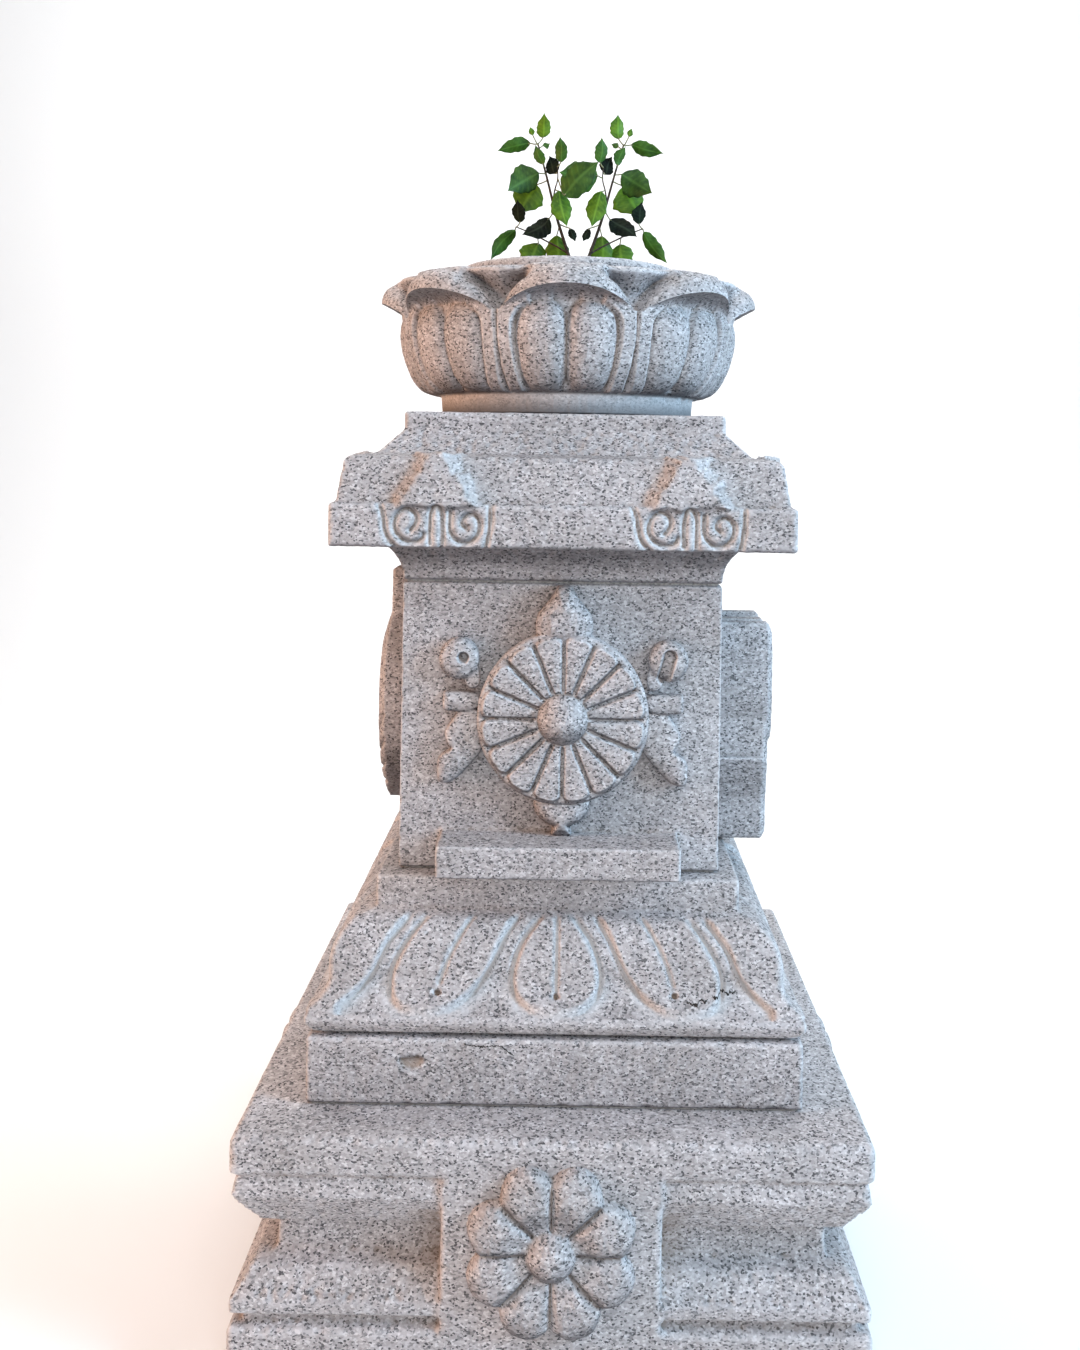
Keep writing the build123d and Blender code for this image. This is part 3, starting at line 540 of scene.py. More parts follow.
def makePedestalStone():
    half, panel = pedestal["half"], pedestal["panelHalf"]
    low, high = pedestal["panelLow"], pedestal["panelHigh"]
    forms = [squareForm(pedestal["profile"]),
             boxForm((-half, -panel, low), (half, panel, high)),
             boxForm((-panel, -half, low), (panel, half, high))]
    piece = fused("pedestalStone", forms, pedestal["voxel"])
    chipEdges(piece, pedestal["chipDepth"], pedestal["chipSize"])
    side, across, up, out = facePlaces(readPoints(piece))
    beside = np.abs(across) - panel
    dirt = np.exp(-((beside - pedestal["dirtCentre"]) / pedestal["dirtWidth"]) ** 2)
    dirt *= (beside > 0) & (out < half - pedestal["dirtDepth"])
    dirt *= step(up, *pedestal["dirtStart"]) * (1 - step(up, *pedestal["dirtEnd"]))
    mark(piece, "stainAndShade", dirt * pedestal["dirt"])
    weather(piece, *pedestal["dressing"])
    lighten(piece, pedestal["faces"])
    finishPiece(piece, "pedestal", ["base_stone"], [unshadedGranite])


rosette = {
    "petals": 8, "radius": 84, "endCentre": 54, "height": 142, "groove": 0.7, "bossRadius": 25, "bossTop": 24,
    # a petal's height, the share of it near the boss, where it rises, and where it slopes down
    "rise": 17, "innerRise": 0.62, "riseFrom": 24, "riseTo": 50, "slopeFrom": 44,
    # between the petals a bed stands proud of the panel, and past it the relief is under the panel's face
    "bed": 2.0, "bedRadius": 66, "bedFrom": 55, "bedTo": 72, "under": -2.5,
    "rings": 70, "spokes": 288, "edge": 1, "dressing": (0.5, 0.35, 10),
}


def rosetteHeight(r, angle):
    # height out of the panel of an eight-petal flower, by distance and angle from its centre
    s = rosette
    gap = 2 * pi / s["petals"]
    off = (angle % gap) - gap / 2
    past = np.maximum(r - s["endCentre"], 0)
    half = np.minimum(r * np.tan(gap / 2) - s["groove"],
                      np.sqrt(np.maximum((s["radius"] - s["endCentre"]) ** 2 - past ** 2, 0)))
    across = np.abs(np.sin(off) * r) / np.maximum(half, 0.1)
    crown = s["rise"] * (s["innerRise"] + (1 - s["innerRise"]) * step(r, s["riseFrom"], s["riseTo"]))
    petal = crown * np.sqrt(np.maximum(1 - np.clip(across, 0, 1) ** 5, 0))
    slope = np.clip((r - s["slopeFrom"]) / (s["radius"] - s["slopeFrom"]), 0, 1)
    petal = np.where(across < 1, petal * np.sqrt(np.maximum(1 - slope ** 4, 0)), s["under"])
    outward = step(r, s["bedFrom"], s["bedTo"])
    bed = np.where(r < s["bedRadius"], s["bed"], s["under"]) * (1 - outward) + s["under"] * outward
    boss = np.where(r < s["bossRadius"],
                    s["bossTop"] * np.sqrt(np.maximum(1 - (r / s["bossRadius"]) ** 2.4, 0)), -9)
    return np.maximum(np.maximum(petal, bed), boss)


def polarPatch(name, heightOf, radius, rings, spokes, reach, centre, side, back=-6):
    # a round relief on a stone's face, from its height above the face
    angle = np.arange(spokes) * 2 * pi / spokes
    points = [(0, 0, float(heightOf(np.array([0.001]), np.array([0.0]))[0]))]
    for r in np.linspace(radius / rings, radius, rings):
        points += zip(r * np.cos(angle), r * np.sin(angle), heightOf(np.full(spokes, r), angle))
    points += zip(radius * np.cos(angle), radius * np.sin(angle), np.full(spokes, back))
    placed = [(*turnSide(u + centre[0], -reach - out, side), centre[1] + v) for u, v, out in points]
    return newPiece(name, placed, discFaces(rings, spokes))


def makeRosettes():
    for side, where in enumerate(("Front", "Right", "Back", "Left")):
        piece = polarPatch("rosette" + where, rosetteHeight, rosette["radius"] + rosette["edge"],
                           rosette["rings"], rosette["spokes"], pedestal["half"], (0, rosette["height"]), side)
        soften(piece, 2)
        weather(piece, *rosette["dressing"])
        finishPiece(piece, "pedestal", [])


makePedestalStone()
makeRosettes()


plinth = {
    "half": 246, "low": 246, "high": 311, "voxel": 2.5, "chipDepth": 2.6, "dressing": (0.5, 0.35),
    # a shallow spall on the front: its place, its half sizes, how deep and how stained it is
    "spall": (-140, 42), "spallHalf": (14, 6), "spallDepth": 2.2, "spallStain": 0.36, "spallRagged": 0.9,
    "cracks": [[(-90, 61), (-72, 58.5), (-60, 60), (-52, 59), (-44, 52), (-40, 50)]], "crackWidths": [1.3],
}


def makePlinthSlab():
    half, low = plinth["half"], plinth["low"]
    piece = fused("plinthSlab", [boxForm((-half, -half, low), (half, half, plinth["high"]))], plinth["voxel"])
    chipEdges(piece, plinth["chipDepth"])
    points, normals = readPoints(piece), readNormals(piece)
    side, across, up, out = facePlaces(points)
    (x, z), (halfX, halfZ) = plinth["spall"], plinth["spallHalf"]
    far = ((across - x) / halfX) ** 2 + ((up - low - z) / halfZ) ** 2
    near = far < 4
    far[near] += plinth["spallRagged"] * np.array([ripple(*spot) for spot in points[near] / 6])
    dent = (1 - step(far, 0.75, 1.1)) * (side == 0) * (out > half - 3)
    writePoints(piece, points - normals * (dent * plinth["spallDepth"])[:, None])
    mark(piece, "stainAndShade", dent * plinth["spallStain"])
    weather(piece, *plinth["dressing"])
    finishPiece(piece, "pedestal", ["plinth_slab"])


def makeCracks(name, stone, lines, base, widths, spacing=0.8):
    # black hairlines and soot marks, as thin slivers let into the stone's front
    forms = []
    for line, width in zip(lines, widths):
        first, end = line[0][0], line[-1][0]
        count = int((end - first) / spacing)
        points = []
        for i in range(count + 1):
            u = first + (end - first) * i / count
            wander = ripple(u * 0.3, 0.5, width) + ripple(u * 0.9, 3.5, width)
            half = width * (0.1 + abs(ripple(u * 0.6, 9.5, width))) * (0 < i < count) + 0.1
            z = base + float(np.interp(u, *zip(*line))) + wander * width
            for side in (1, -1):
                spot = Vector((u, -400, z + side * half))
                y = bpy.data.objects[stone].ray_cast(spot * mm, Vector((0, 1, 0)))[1].y / mm
                points += [(u, y + depth, spot.z) for depth in (-0.25, 1.2)[::side]]
        forms.append((points, closedBands(count + 1, 4, True)))
    finishPiece(newPiece(name, *together(forms)), "pedestal", [], [sootMark])


makePlinthSlab()
makeCracks("plinthCrack", "plinthSlab", plinth["cracks"], plinth["low"], plinth["crackWidths"])


apron = {
    "base": 313, "voxel": 1.9, "top": 106, "foot": 22,
    # half width and height: the lip, the hollow above it, the shoulder and the foot slab on top
    "lip": [(236, 0), (241, 3), (246, 9)], "lipCurve": ((246, 9), (248.6, 15), (247, 22)),
    "hollow": ((247, 22), (231, 34), (225, 56)), "shoulder": ((225, 56), (215.5, 90.5), (188, 107)),
    "slabTop": (188, 140),
    "lift": 3.4, "grooveHalf": 3.6, "grooveDepth": 4.2, "sink": 2.5, "veinHalf": 2.8, "veinDepth": 3.2,
    # distances over which a petal rises from its edge and its pale foot fades
    "petalEdge": (0, 5), "footEdge": (3, 13),
    # heights over which the carving starts, the grooves deepen, the pale feet end and the sunk part ends
    "carveStart": (17, 25), "grooveStart": (26, 44), "feetEnd": (32, 58), "sunkEnd": (36, 72),
    "dressing": (0.35, 0.3),
    # half of the middle petal, from its top to its foot, and the petal to its left
    "middle": [(-11, 109), (-22, 100), (-33, 89), (-41, 73), (-45, 54), (-44, 41), (-38, 31), (-27, 24),
               (-12, 21)],
    "sideOuter": [(-127, 109), (-142, 97), (-155, 80), (-163, 65), (-167, 52), (-167, 39), (-163, 29),
                  (-152, 22)],
    "sideInner": [(-34, 109), (-45, 99), (-54, 87), (-60, 74), (-66, 61), (-73, 49), (-83, 37),
                  (-97, 27), (-114, 21)],
    "corner": [(-145, 109), (-160, 95), (-173, 80), (-181, 58), (-190, 46), (-200, 36), (-214, 27)],
    "veins": [[(-84, 105), (-95, 93), (-105, 78), (-112, 62), (-117, 46)], [(0, 106), (0, 40)]],
    "holes": [(-119, 37), (0, 35)], "holeRadius": 3.6, "holeDepth": 6,
    # how pale the cuts and the petals' feet are, and how brown the holes
    "cutPale": 0.9, "feetPale": 0.7, "holeStain": 0.3,
    "cracks": [[(156, 38), (168, 40), (181, 41)], [(131, 33), (141, 33), (152, 37)]], "crackWidths": [3.0, 2.0],
}


def makeLotusApron():
    profile = apron["lip"] + arc(*apron["lipCurve"], 5)[1:] + arc(*apron["hollow"])[1:]
    profile += arc(*apron["shoulder"], 14)[1:] + [apron["slabTop"]]
    piece = fused("lotusApron", [squareForm(profile, apron["base"])], apron["voxel"])
    points, normals = readPoints(piece), readNormals(piece)
    side, across, up, out = facePlaces(points)
    up = up - apron["base"]
    middle = rounded(bothHalves(apron["middle"]), 2, True)
    leftPetal = rounded(apron["sideOuter"] + apron["sideInner"][::-1], 2, True)
    corner = rounded(apron["corner"], 2)
    petals, corners = [middle, leftPetal, mirrored(leftPetal)], [corner, mirrored(corner)]
    # outside the corner lines the corner leaf is raised like the petals
    past = np.abs(across) - np.interp(up, [v for _, v in corner[::-1]], [-u for u, _ in corner[::-1]])
    raised = (up > apron["foot"]) * step(past, *apron["petalEdge"])
    for ring in petals:
        inward = step(lineDistance(across, up, ring, True), *apron["petalEdge"])
        raised = np.maximum(raised, isInside(across, up, ring) * inward)
    groove = np.maximum(nearLines(across, up, petals, 0.4, apron["grooveHalf"], True),
                        nearLines(across, up, corners, 0.4, apron["grooveHalf"]))
    feet = np.maximum(nearLines(across, up, petals, *apron["footEdge"], True),
                      nearLines(across, up, corners, *apron["footEdge"]))
    # the grooves open into sunk triangles between the petals' feet
    groove *= step(up, *apron["grooveStart"])
    sunk = (1 - raised) * (1 - step(up, *apron["sunkEnd"]))
    feet *= (1 - raised) * (1 - step(up, *apron["feetEnd"]))
    veins = [rounded(line, 1) for line in apron["veins"]]
    vein = nearLines(across, up, veins + [mirrored(line) for line in veins], 0.3, apron["veinHalf"])
    holeFar = [np.hypot(across - sign * u, (up - v) * 1.1) for u, v in apron["holes"] for sign in (1, -1)]
    hole = 1 - step(np.min(holeFar, axis=0), apron["holeRadius"] * 0.6, apron["holeRadius"])
    band = (up > 14) & (up < apron["top"] + 2) & (out > 150)
    fade = step(up, *apron["carveStart"]) * (1 - step(up, apron["top"] - 8, apron["top"]))
    push = raised * apron["lift"] - groove * apron["grooveDepth"] - sunk * apron["sink"]
    push = (push - vein * apron["veinDepth"]) * fade - hole * apron["holeDepth"]
    writePoints(piece, points + normals * (push * band)[:, None])
    pale = np.maximum(np.maximum(groove, vein) * apron["cutPale"], feet * apron["feetPale"])
    mark(piece, "paleCutAndLight", pale * fade * band)
    mark(piece, "stainAndShade", hole * apron["holeStain"] * band)
    weather(piece, *apron["dressing"])
    lighten(piece)
    finishPiece(piece, "pedestal", ["lotus_apron"], [unshadedGranite])


makeLotusApron()
makeCracks("apronSoot", "lotusApron", apron["cracks"], apron["base"], apron["crackWidths"])


shaft = {"half": 168, "low": 455, "high": 755, "voxel": 2.4, "dressing": (0.4, 0.3),
         "ledgeHalf": 124, "ledgeLow": 463, "ledgeHigh": 495, "ledgeReach": 226, "ledgeBury": 4}


def makeShaftStone():
    half, ledge = shaft["half"], shaft["ledgeHalf"]
    reach, buried = shaft["ledgeReach"], half - shaft["ledgeBury"]
    forms = [boxForm((-half, -half, shaft["low"]), (half, half, shaft["high"]))]
    for front, back in ((-reach, -buried), (buried, reach)):
        forms.append(boxForm((-ledge, front, shaft["ledgeLow"]), (ledge, back, shaft["ledgeHigh"])))
    piece = fused("shaftStone", forms, shaft["voxel"])
    chipEdges(piece)
    weather(piece, *shaft["dressing"])
    finishPiece(piece, "pedestal", ["shaft"])


wheel = {
    "across": 2.5, "height": 617.5, "radius": 89, "thick": 27, "bossRadius": 26, "bossRise": 19,
    "grooves": 16, "grooveHalf": 3.3, "grooveDepth": 4.2, "grooveIn": 29, "grooveOut": 80,
    # the petals' rounded ends and the corners sunk between them
    "endCentre": 70, "endRadius": 14.2, "spandrel": 4.5,
    # the petals' swelling and where it starts, the rounded rim, and the ring sunk round the boss
    "pillow": 1.1, "pillowStart": (30, 45), "rimDrop": 2.0, "rimWidth": 2.5, "moat": 1.8, "moatWidth": 4,
    "bossSink": 2, "rings": 78, "spokes": 512, "dressing": (0.35, 0.3, 9),
}


def wheelHeight(r, angle):
    # height out of the shaft, by distance and angle from the wheel's centre
    w = wheel
    gap = 2 * pi / w["grooves"]
    off = (angle + gap / 2) % gap - gap / 2  # angle from the nearest groove
    side = np.abs(np.sin(off)) * r
    groove = (1 - step(side, 0.5, w["grooveHalf"])) * step(r, w["grooveIn"] - 3, w["grooveIn"] + 2)
    groove *= 1 - step(r, w["grooveOut"] - 4, w["grooveOut"] + 4)
    mid = gap / 2 - np.abs(off)  # angle from the petal's middle
    along, beside = r * np.cos(mid), np.abs(r * np.sin(mid))
    endFar = np.cbrt(np.abs(along - w["endCentre"]) ** 3 + beside ** 3)
    beyond = (along > w["endCentre"]) * step(endFar, w["endRadius"] - 1, w["endRadius"] + 2)
    pillow = w["pillow"] * (1 - np.clip(beside / np.maximum(r * sin(gap / 2), 1), 0, 1) ** 2)
    pillow *= step(r, *w["pillowStart"])
    rim = w["rimDrop"] * step(r, w["radius"] - w["rimWidth"], w["radius"])
    face = w["thick"] + pillow - w["grooveDepth"] * groove - w["spandrel"] * beyond - rim
    face -= w["moat"] * (1 - step(r, w["bossRadius"], w["bossRadius"] + w["moatWidth"]))
    dome = np.sqrt(np.maximum(1 - (r / w["bossRadius"]) ** 2, 0))
    return np.where(r < w["bossRadius"], w["thick"] - w["bossSink"] + w["bossRise"] * dome, face)


ribbons = {
    # how far the hands stand out, wider than the wheel's own scale
    "spread": 1.035, "bury": -5, "voxel": 1.2, "dressing": (0.4, 0.3, 9),
    "scroll": (-105.5, 59), "scrollRadius": 20, "scrollStretch": 1.07,
    "curl": [(-104, 56), (-90, 58), (-84, 44), (-85, 28), (-98, 28), (-101, 42)],
    "bar": [(-121, 22.5), (-120, 24.5), (-84, 24.5), (-84, 4.5), (-119, 4.5), (-121, 7.5)],
    "tail": [(-104, 7), (-112, -6), (-119, -16), (-118, -26), (-110, -34), (-118, -39), (-126, -44),
             (-126, -69), (-118, -72), (-105, -65), (-91, -49), (-78, -32), (-80, 6)],
    "finial": [(26, 65), (29, 87), (30, 99), (27, 108), (20, 116), (13.5, 124), (9, 132), (7.5, 136.5)],
    "drop": [(29, -80), (29, -94), (25, -104), (16, -110), (9, -113), (8.5, -117), (12, -124)],
    # height, dome and inset of each block
    "hands": {"scroll": (15, 4, 3), "curl": (13, 1, 2), "bar": (15, 2, 2), "tail": (14, 3, 2)},
    "upright": {"finial": (17, 9, 2), "drop": (15, 8, 2)},
    "eyeRound": (-102, 61, 5.6), "eyeLong": [(113, 65), (107, 43)], "eyeDepth": 8,
}


def makeWheel():
    face = {"reach": shaft["half"], "height": wheel["height"], "low": ribbons["bury"]}
    disc = polarPatch("wheelDisc", wheelHeight, wheel["radius"], wheel["rings"], wheel["spokes"],
                      shaft["half"], (wheel["across"], wheel["height"]), 0)
    weather(disc, *wheel["dressing"])
    finishPiece(disc, "pedestal", [])
    (x, z), stretch = ribbons["scroll"], ribbons["scrollStretch"]
    scroll = [(x + u, z + v * stretch) for u, v in circle(ribbons["scrollRadius"], 40)]
    forms = []
    for hand in (1, -1):
        for shape, (high, dome, inset) in ribbons["hands"].items():
            outline = scroll if shape == "scroll" else rounded(ribbons[shape], 2, True)
            placed = [(hand * u * ribbons["spread"] + wheel["across"], v) for u, v in outline][::hand]
            forms.append(faceBlock(placed, high=high, dome=dome, inset=inset, **face))
    for shape, (high, dome, inset) in ribbons["upright"].items():
        outline = [(u + wheel["across"], v) for u, v in rounded(bothHalves(ribbons[shape]), 2, True)]
        forms.append(faceBlock(outline, high=high, dome=dome, inset=inset, **face))
    piece = fused("wheelRibbons", forms, ribbons["voxel"])
    points = readPoints(piece)
    u, v = points[:, 0], points[:, 2] - wheel["height"]
    eyeX, eyeZ, eyeRadius = ribbons["eyeRound"]
    dent = 1 - step(np.hypot(u - eyeX, v - eyeZ), eyeRadius - 1.5, eyeRadius + 0.5)
    dent = np.maximum(dent, nearLines(u, v, [ribbons["eyeLong"]], 5.0, 7.5))
    points[:, 1] += dent * ribbons["eyeDepth"] * (points[:, 1] < -shaft["half"] - 4)
    writePoints(piece, points)
    weather(piece, *ribbons["dressing"])
    finishPiece(piece, "pedestal", [])


reliefs = {
    "voxel": 2.0, "soften": 3, "dressing": (0.5, 0.3, 10),
    # the conch on the left side stands on its point
    "conchHeight": 603,
    "shell": [(-24, 100), (-68, 62), (-76, 5), (-62, -62), (-28, -108), (0, -124), (26, -106), (58, -60),
              (66, 0), (60, 58), (24, 100)],
    "collar": [(-22, 96), (22, 96), (18, 152), (-18, 152)], "crown": (-4, 20), "crownRadius": 26,
    # foot, height, dome and inset of each of its blocks
    "conchBlocks": {"shell": (-5, 38, 8, 4), "collar": (-5, 33, 0, 4), "crown": (30, 44, 4, 4)},
    # whorl lines spiral out of the crown
    "whorlPitch": 16.4, "whorlGrowth": 2.6, "whorlCut": 2.2, "whorlHalf": (1.0, 3.0),
    # tall forked mark on its own stand, on the right side
    "stand": [(-61, 2), (61, 2), (64, 48), (75, 97), (-75, 97), (-64, 48)],
    "fork": [(-64, 247), (-64, 128), (-48, 103), (0, 96), (48, 103), (64, 128), (64, 247), (31, 247), (31, 146),
             (18, 128), (0, 122), (-18, 128), (-31, 146), (-31, 247)],
    "filler": [(-63, 90), (63, 90), (63, 134), (-63, 134)],
    "tongue": [(-11, 112), (11, 112), (11, 245), (-11, 245)],
    "forkBlocks": {"stand": (-5, 66, 2, 5), "fork": (-5, 72, 0, 5), "filler": (-5, 68, 0, 5),
                   "tongue": (-5, 70, 0, 4)},
    # the flower on the back is the rosette, a little larger
    "medallionScale": 84 / 78, "medallionRadius": 85, "medallionDressing": (0.5, 0.35, 10),
}


def fusedRelief(name, blocks, outlines, height, side):
    # the blocks of one side's relief, with the outlines that aren't taken as they are in reliefs
    forms = []
    for shape, (low, high, dome, inset) in reliefs[blocks].items():
        outline = outlines.get(shape, reliefs[shape])
        forms.append(faceBlock(outline, low, high, shaft["half"], height, side, dome, inset))
    return fused(name, forms, reliefs["voxel"], reliefs["soften"])


def makeConch():
    (x, z), base = reliefs["crown"], reliefs["conchHeight"]
    outlines = {"shell": rounded(reliefs["shell"], 2, True), "crown": circle(reliefs["crownRadius"], 24, x, z)}
    piece = fusedRelief("conchRelief", "conchBlocks", outlines, base, 3)
    points = readPoints(piece)
    u, v = -points[:, 1] - x, points[:, 2] - base - z
    spiral = (np.hypot(u, v) - (np.arctan2(v, u) % (2 * pi)) * reliefs["whorlGrowth"]) % reliefs["whorlPitch"]
    cut = (1 - step(np.abs(spiral - 8), *reliefs["whorlHalf"])) * (points[:, 0] < -shaft["half"] - 34)
    points[:, 0] += cut * reliefs["whorlCut"]
    writePoints(piece, points)
    weather(piece, *reliefs["dressing"])
    finishPiece(piece, "pedestal", [])


def makeForkedMark():
    outlines = {"fork": rounded(reliefs["fork"], 1, True)}
    piece = fusedRelief("markRelief", "forkBlocks", outlines, shaft["low"], 1)
    weather(piece, *reliefs["dressing"])
    finishPiece(piece, "pedestal", [])


def makeMedallion():
    piece = polarPatch("medallionBack", lambda r, a: rosetteHeight(r / reliefs["medallionScale"], a),
                       reliefs["medallionRadius"], rosette["rings"], rosette["spokes"], shaft["half"],
                       (0, wheel["height"]), 2)
    weather(piece, *reliefs["medallionDressing"])
    finishPiece(piece, "pedestal", [])


makeShaftStone()
makeWheel()
makeConch()
makeForkedMark()
makeMedallion()


cornice = {
    "base": 757, "voxel": 2.2, "fasciaLow": 39, "fasciaHigh": 83, "fasciaReach": 235, "dressing": (0.45, 0.3),
    # half width and height of the cove, fascia and eave, the eave's rounded edge and the top slab
    "cove": ((168, 0), (173, 22), (188, 39)), "eave": [(235, 39), (235, 83), (229, 83), (223, 122)],
    "eaveEdge": ((223, 122), (220.4, 128.4), (214, 131)), "slab": [(194, 133), (169, 158), (169, 177)],
    # the gables' place along a side, their outlines, and how far each end stands out and leans
    "gable": 127,
    "gableFront": [(-36, 0), (36, 0), (31, 10), (24, 24), (15, 32), (7, 50), (-9, 51), (-16, 33),
                   (-23, 24), (-33, 10)],
    "gableBack": [(-60, -2), (60, -2), (54, 14), (46, 28), (38, 38), (24, 54), (-27, 54), (-38, 38),
                  (-46, 28), (-56, 14)],
    "gableEnds": {"gableFront": (3, 0.12), "gableBack": (-17, 0.1)}, "gableSink": 2,
    "scrolls": [
        [(-57, 43), (-53, 31), (-52, 18), (-48, 8), (-41, 0)],
        [(-26, 17), (-20, 24), (-20, 33), (-27, 39), (-36, 37), (-42, 28), (-42, 17), (-35, 8), (-24, 4),
         (-14, 8), (-12, 14)],
        [(-6, 4), (-6.5, 20), (-6, 36), (0, 43), (6, 36), (6.5, 20), (6, 1)],
        [(14, 36), (13, 18), (19, 8), (28, 4), (38, 8), (44, 18), (43, 29), (35, 35), (27, 31), (25, 24),
         (30, 20)],
        [(54, 43), (54, 23), (50, 1)]],
    # the cuts' half width and depth, and the painted shade, brown, at their bottoms
    "cutHalf": 3.6, "cutDepth": 4.2, "cutShade": 0.13,
    # painted light: one flank of each gable, and the eave left of it, get painted shade in brown, fading
    # outwards, and the other flank a painted pale highlight
    "flankLight": 0.5, "flankShade": 0.085, "eaveShade": 0.05, "flankLow": 44, "flankHigh": 96,
    "flankHalf": 62, "flankOut": 206, "lightLean": (0.12, 0.45), "shadeLean": (0.12, 0.5), "patchSize": 7,
}


def makeCorniceStone():
    c = cornice
    profile = [c["cove"][0]] + arc(*c["cove"])[1:] + c["eave"] + arc(*c["eaveEdge"], 4)[1:] + c["slab"]
    forms = [squareForm(profile, c["base"])]
    foot = c["base"] + c["fasciaHigh"] - c["gableSink"]
    for side in range(4):
        for hand in (1, -1):
            points = []
            for i, (end, (proud, lean)) in enumerate(c["gableEnds"].items()):
                for u, v in ragged(c[end], shift=side * 3 + hand + 0.3 + i):
                    spot = turnSide(hand * c["gable"] + u, v * lean - c["fasciaReach"] - proud, side)
                    points.append((*spot, foot + v))
            forms.append((points, closedBands(2, len(points) // 2, True)))
    piece = fused("corniceStone", forms, c["voxel"])
    chipEdges(piece)
    points, normals = readPoints(piece), readNormals(piece)
    side, across, up, out = facePlaces(points)
    up = up - c["base"] - c["fasciaLow"]
    scrolls = [rounded(line, 2) for line in c["scrolls"]]
    cut = np.maximum(*(nearLines(across - place, up, scrolls, 0.3, c["cutHalf"])
                       for place in (c["gable"], -c["gable"])))
    cut *= (out > c["fasciaReach"] - 4) & (up > -1) & (up < 45)
    writePoints(piece, points - normals * (cut * c["cutDepth"])[:, None])
    lean = np.choose(side, [normals[:, 0], normals[:, 1], -normals[:, 0], -normals[:, 1]])
    fromGable = np.abs(across) - c["gable"]
    fromGable = np.where(across < 0, -fromGable, fromGable)
    flank = (up > c["flankLow"]) & (up < c["flankHigh"]) & (np.abs(fromGable) < c["flankHalf"])
    flank &= out > c["flankOut"]
    patchy = 0.75 + 0.5 * np.array([ripple(*spot) for spot in points / c["patchSize"]])
    pale = np.clip(1.3 - np.abs(cut - 0.35) * 2.2, 0, 1) * (cut > 0.02)
    # painted highlight: flanks turned to the right are paled, on top of the pale of the fresh cuts
    mark(piece, "paleCutAndLight", np.maximum(pale, flank * step(lean, *c["lightLean"]) * c["flankLight"] * patchy))
    # painted shade: brown on flanks turned to the left, on the eave left of each gable, and at the bottoms of
    # the cuts
    paintedShade = np.maximum(step(-lean, *c["shadeLean"]) * c["flankShade"],
                       step(fromGable, -60, -26) * (fromGable < -20) * c["eaveShade"])
    mark(piece, "stainAndShade", np.maximum(step(cut, 0.7, 1.0) * c["cutShade"], flank * paintedShade * patchy))
    weather(piece, *c["dressing"])
    lighten(piece)
    finishPiece(piece, "pedestal", ["cornice"])


makeCorniceStone()


bowl = {
    "base": 934, "petals": 8, "columns": 800, "wallRows": 40, "coveRows": 12, "fallRows": 10,
    # the wall between the petals, and the half width of a petal by height
    "wall": [(148, 24), (158, 29), (167, 37), (175, 50), (182, 68), (187, 90), (188, 108), (188, 124)],
    "halfWidths": [(24, 56), (30, 58.5), (40, 62), (52, 66), (80, 70.5), (108, 71)],
    "raise": 9.0, "band": 16.5, "recess": 12.5, "archStart": 92, "archReach": 31,
    "lobeMiddle": 27.0, "lobeHalf": 27.4, "lobeRise": 14.5, "lobeLow": 25, "lobeHigh": 120,
    # inner edge of a petal's rim, and the outer edge that stands before the narrow petals
    "lipRadius": 198, "tip": (221, 131), "foot": (194, 109), "outerTop": 148, "lipHalf": 71,
    "notch": 179, "backTip": (203, 147), "backDrop": 5, "backWidth": 26,
    # a lip's dome from its edge up, its far side, and the span over which it turns into the rim's face
    "domeSteps": [(0, 0), (-0.5, 8), (-5, 16), (-12, 21)], "domeBack": [(200, 154.5), (192, 155)],
    "domeSpan": (34, 54),
    # the crest behind the lips, and how the top falls from it to the collar
    "crest": (184, 154), "fallBy": (176, 155), "fallTo": (128, 149),
    # distance from the axis and height: the foot, and the collar, hollow and drain
    # the foot's pale mark is painted light
    "footRing": [(140, 0), (148, 0), (148, 23)], "footLight": 0.8, "dressing": (0.45, 0.3, 11),
    "inside": [(126.5, 151), (126, 158), (126, 166), (125.6, 171), (123, 173.6), (118, 174), (112, 173.8),
               (109, 173), (108, 170), (107, 165), (105, 152), (102, 130), (100, 110), (96, 70), (94, 50),
               (60, 50), (11, 50), (11, 25), (11, 0)],
}


def curve(start, control, end, t):
    # quadratic curve between arrays of places
    return start * (1 - t) ** 2 + control * 2 * t * (1 - t) + end * t * t


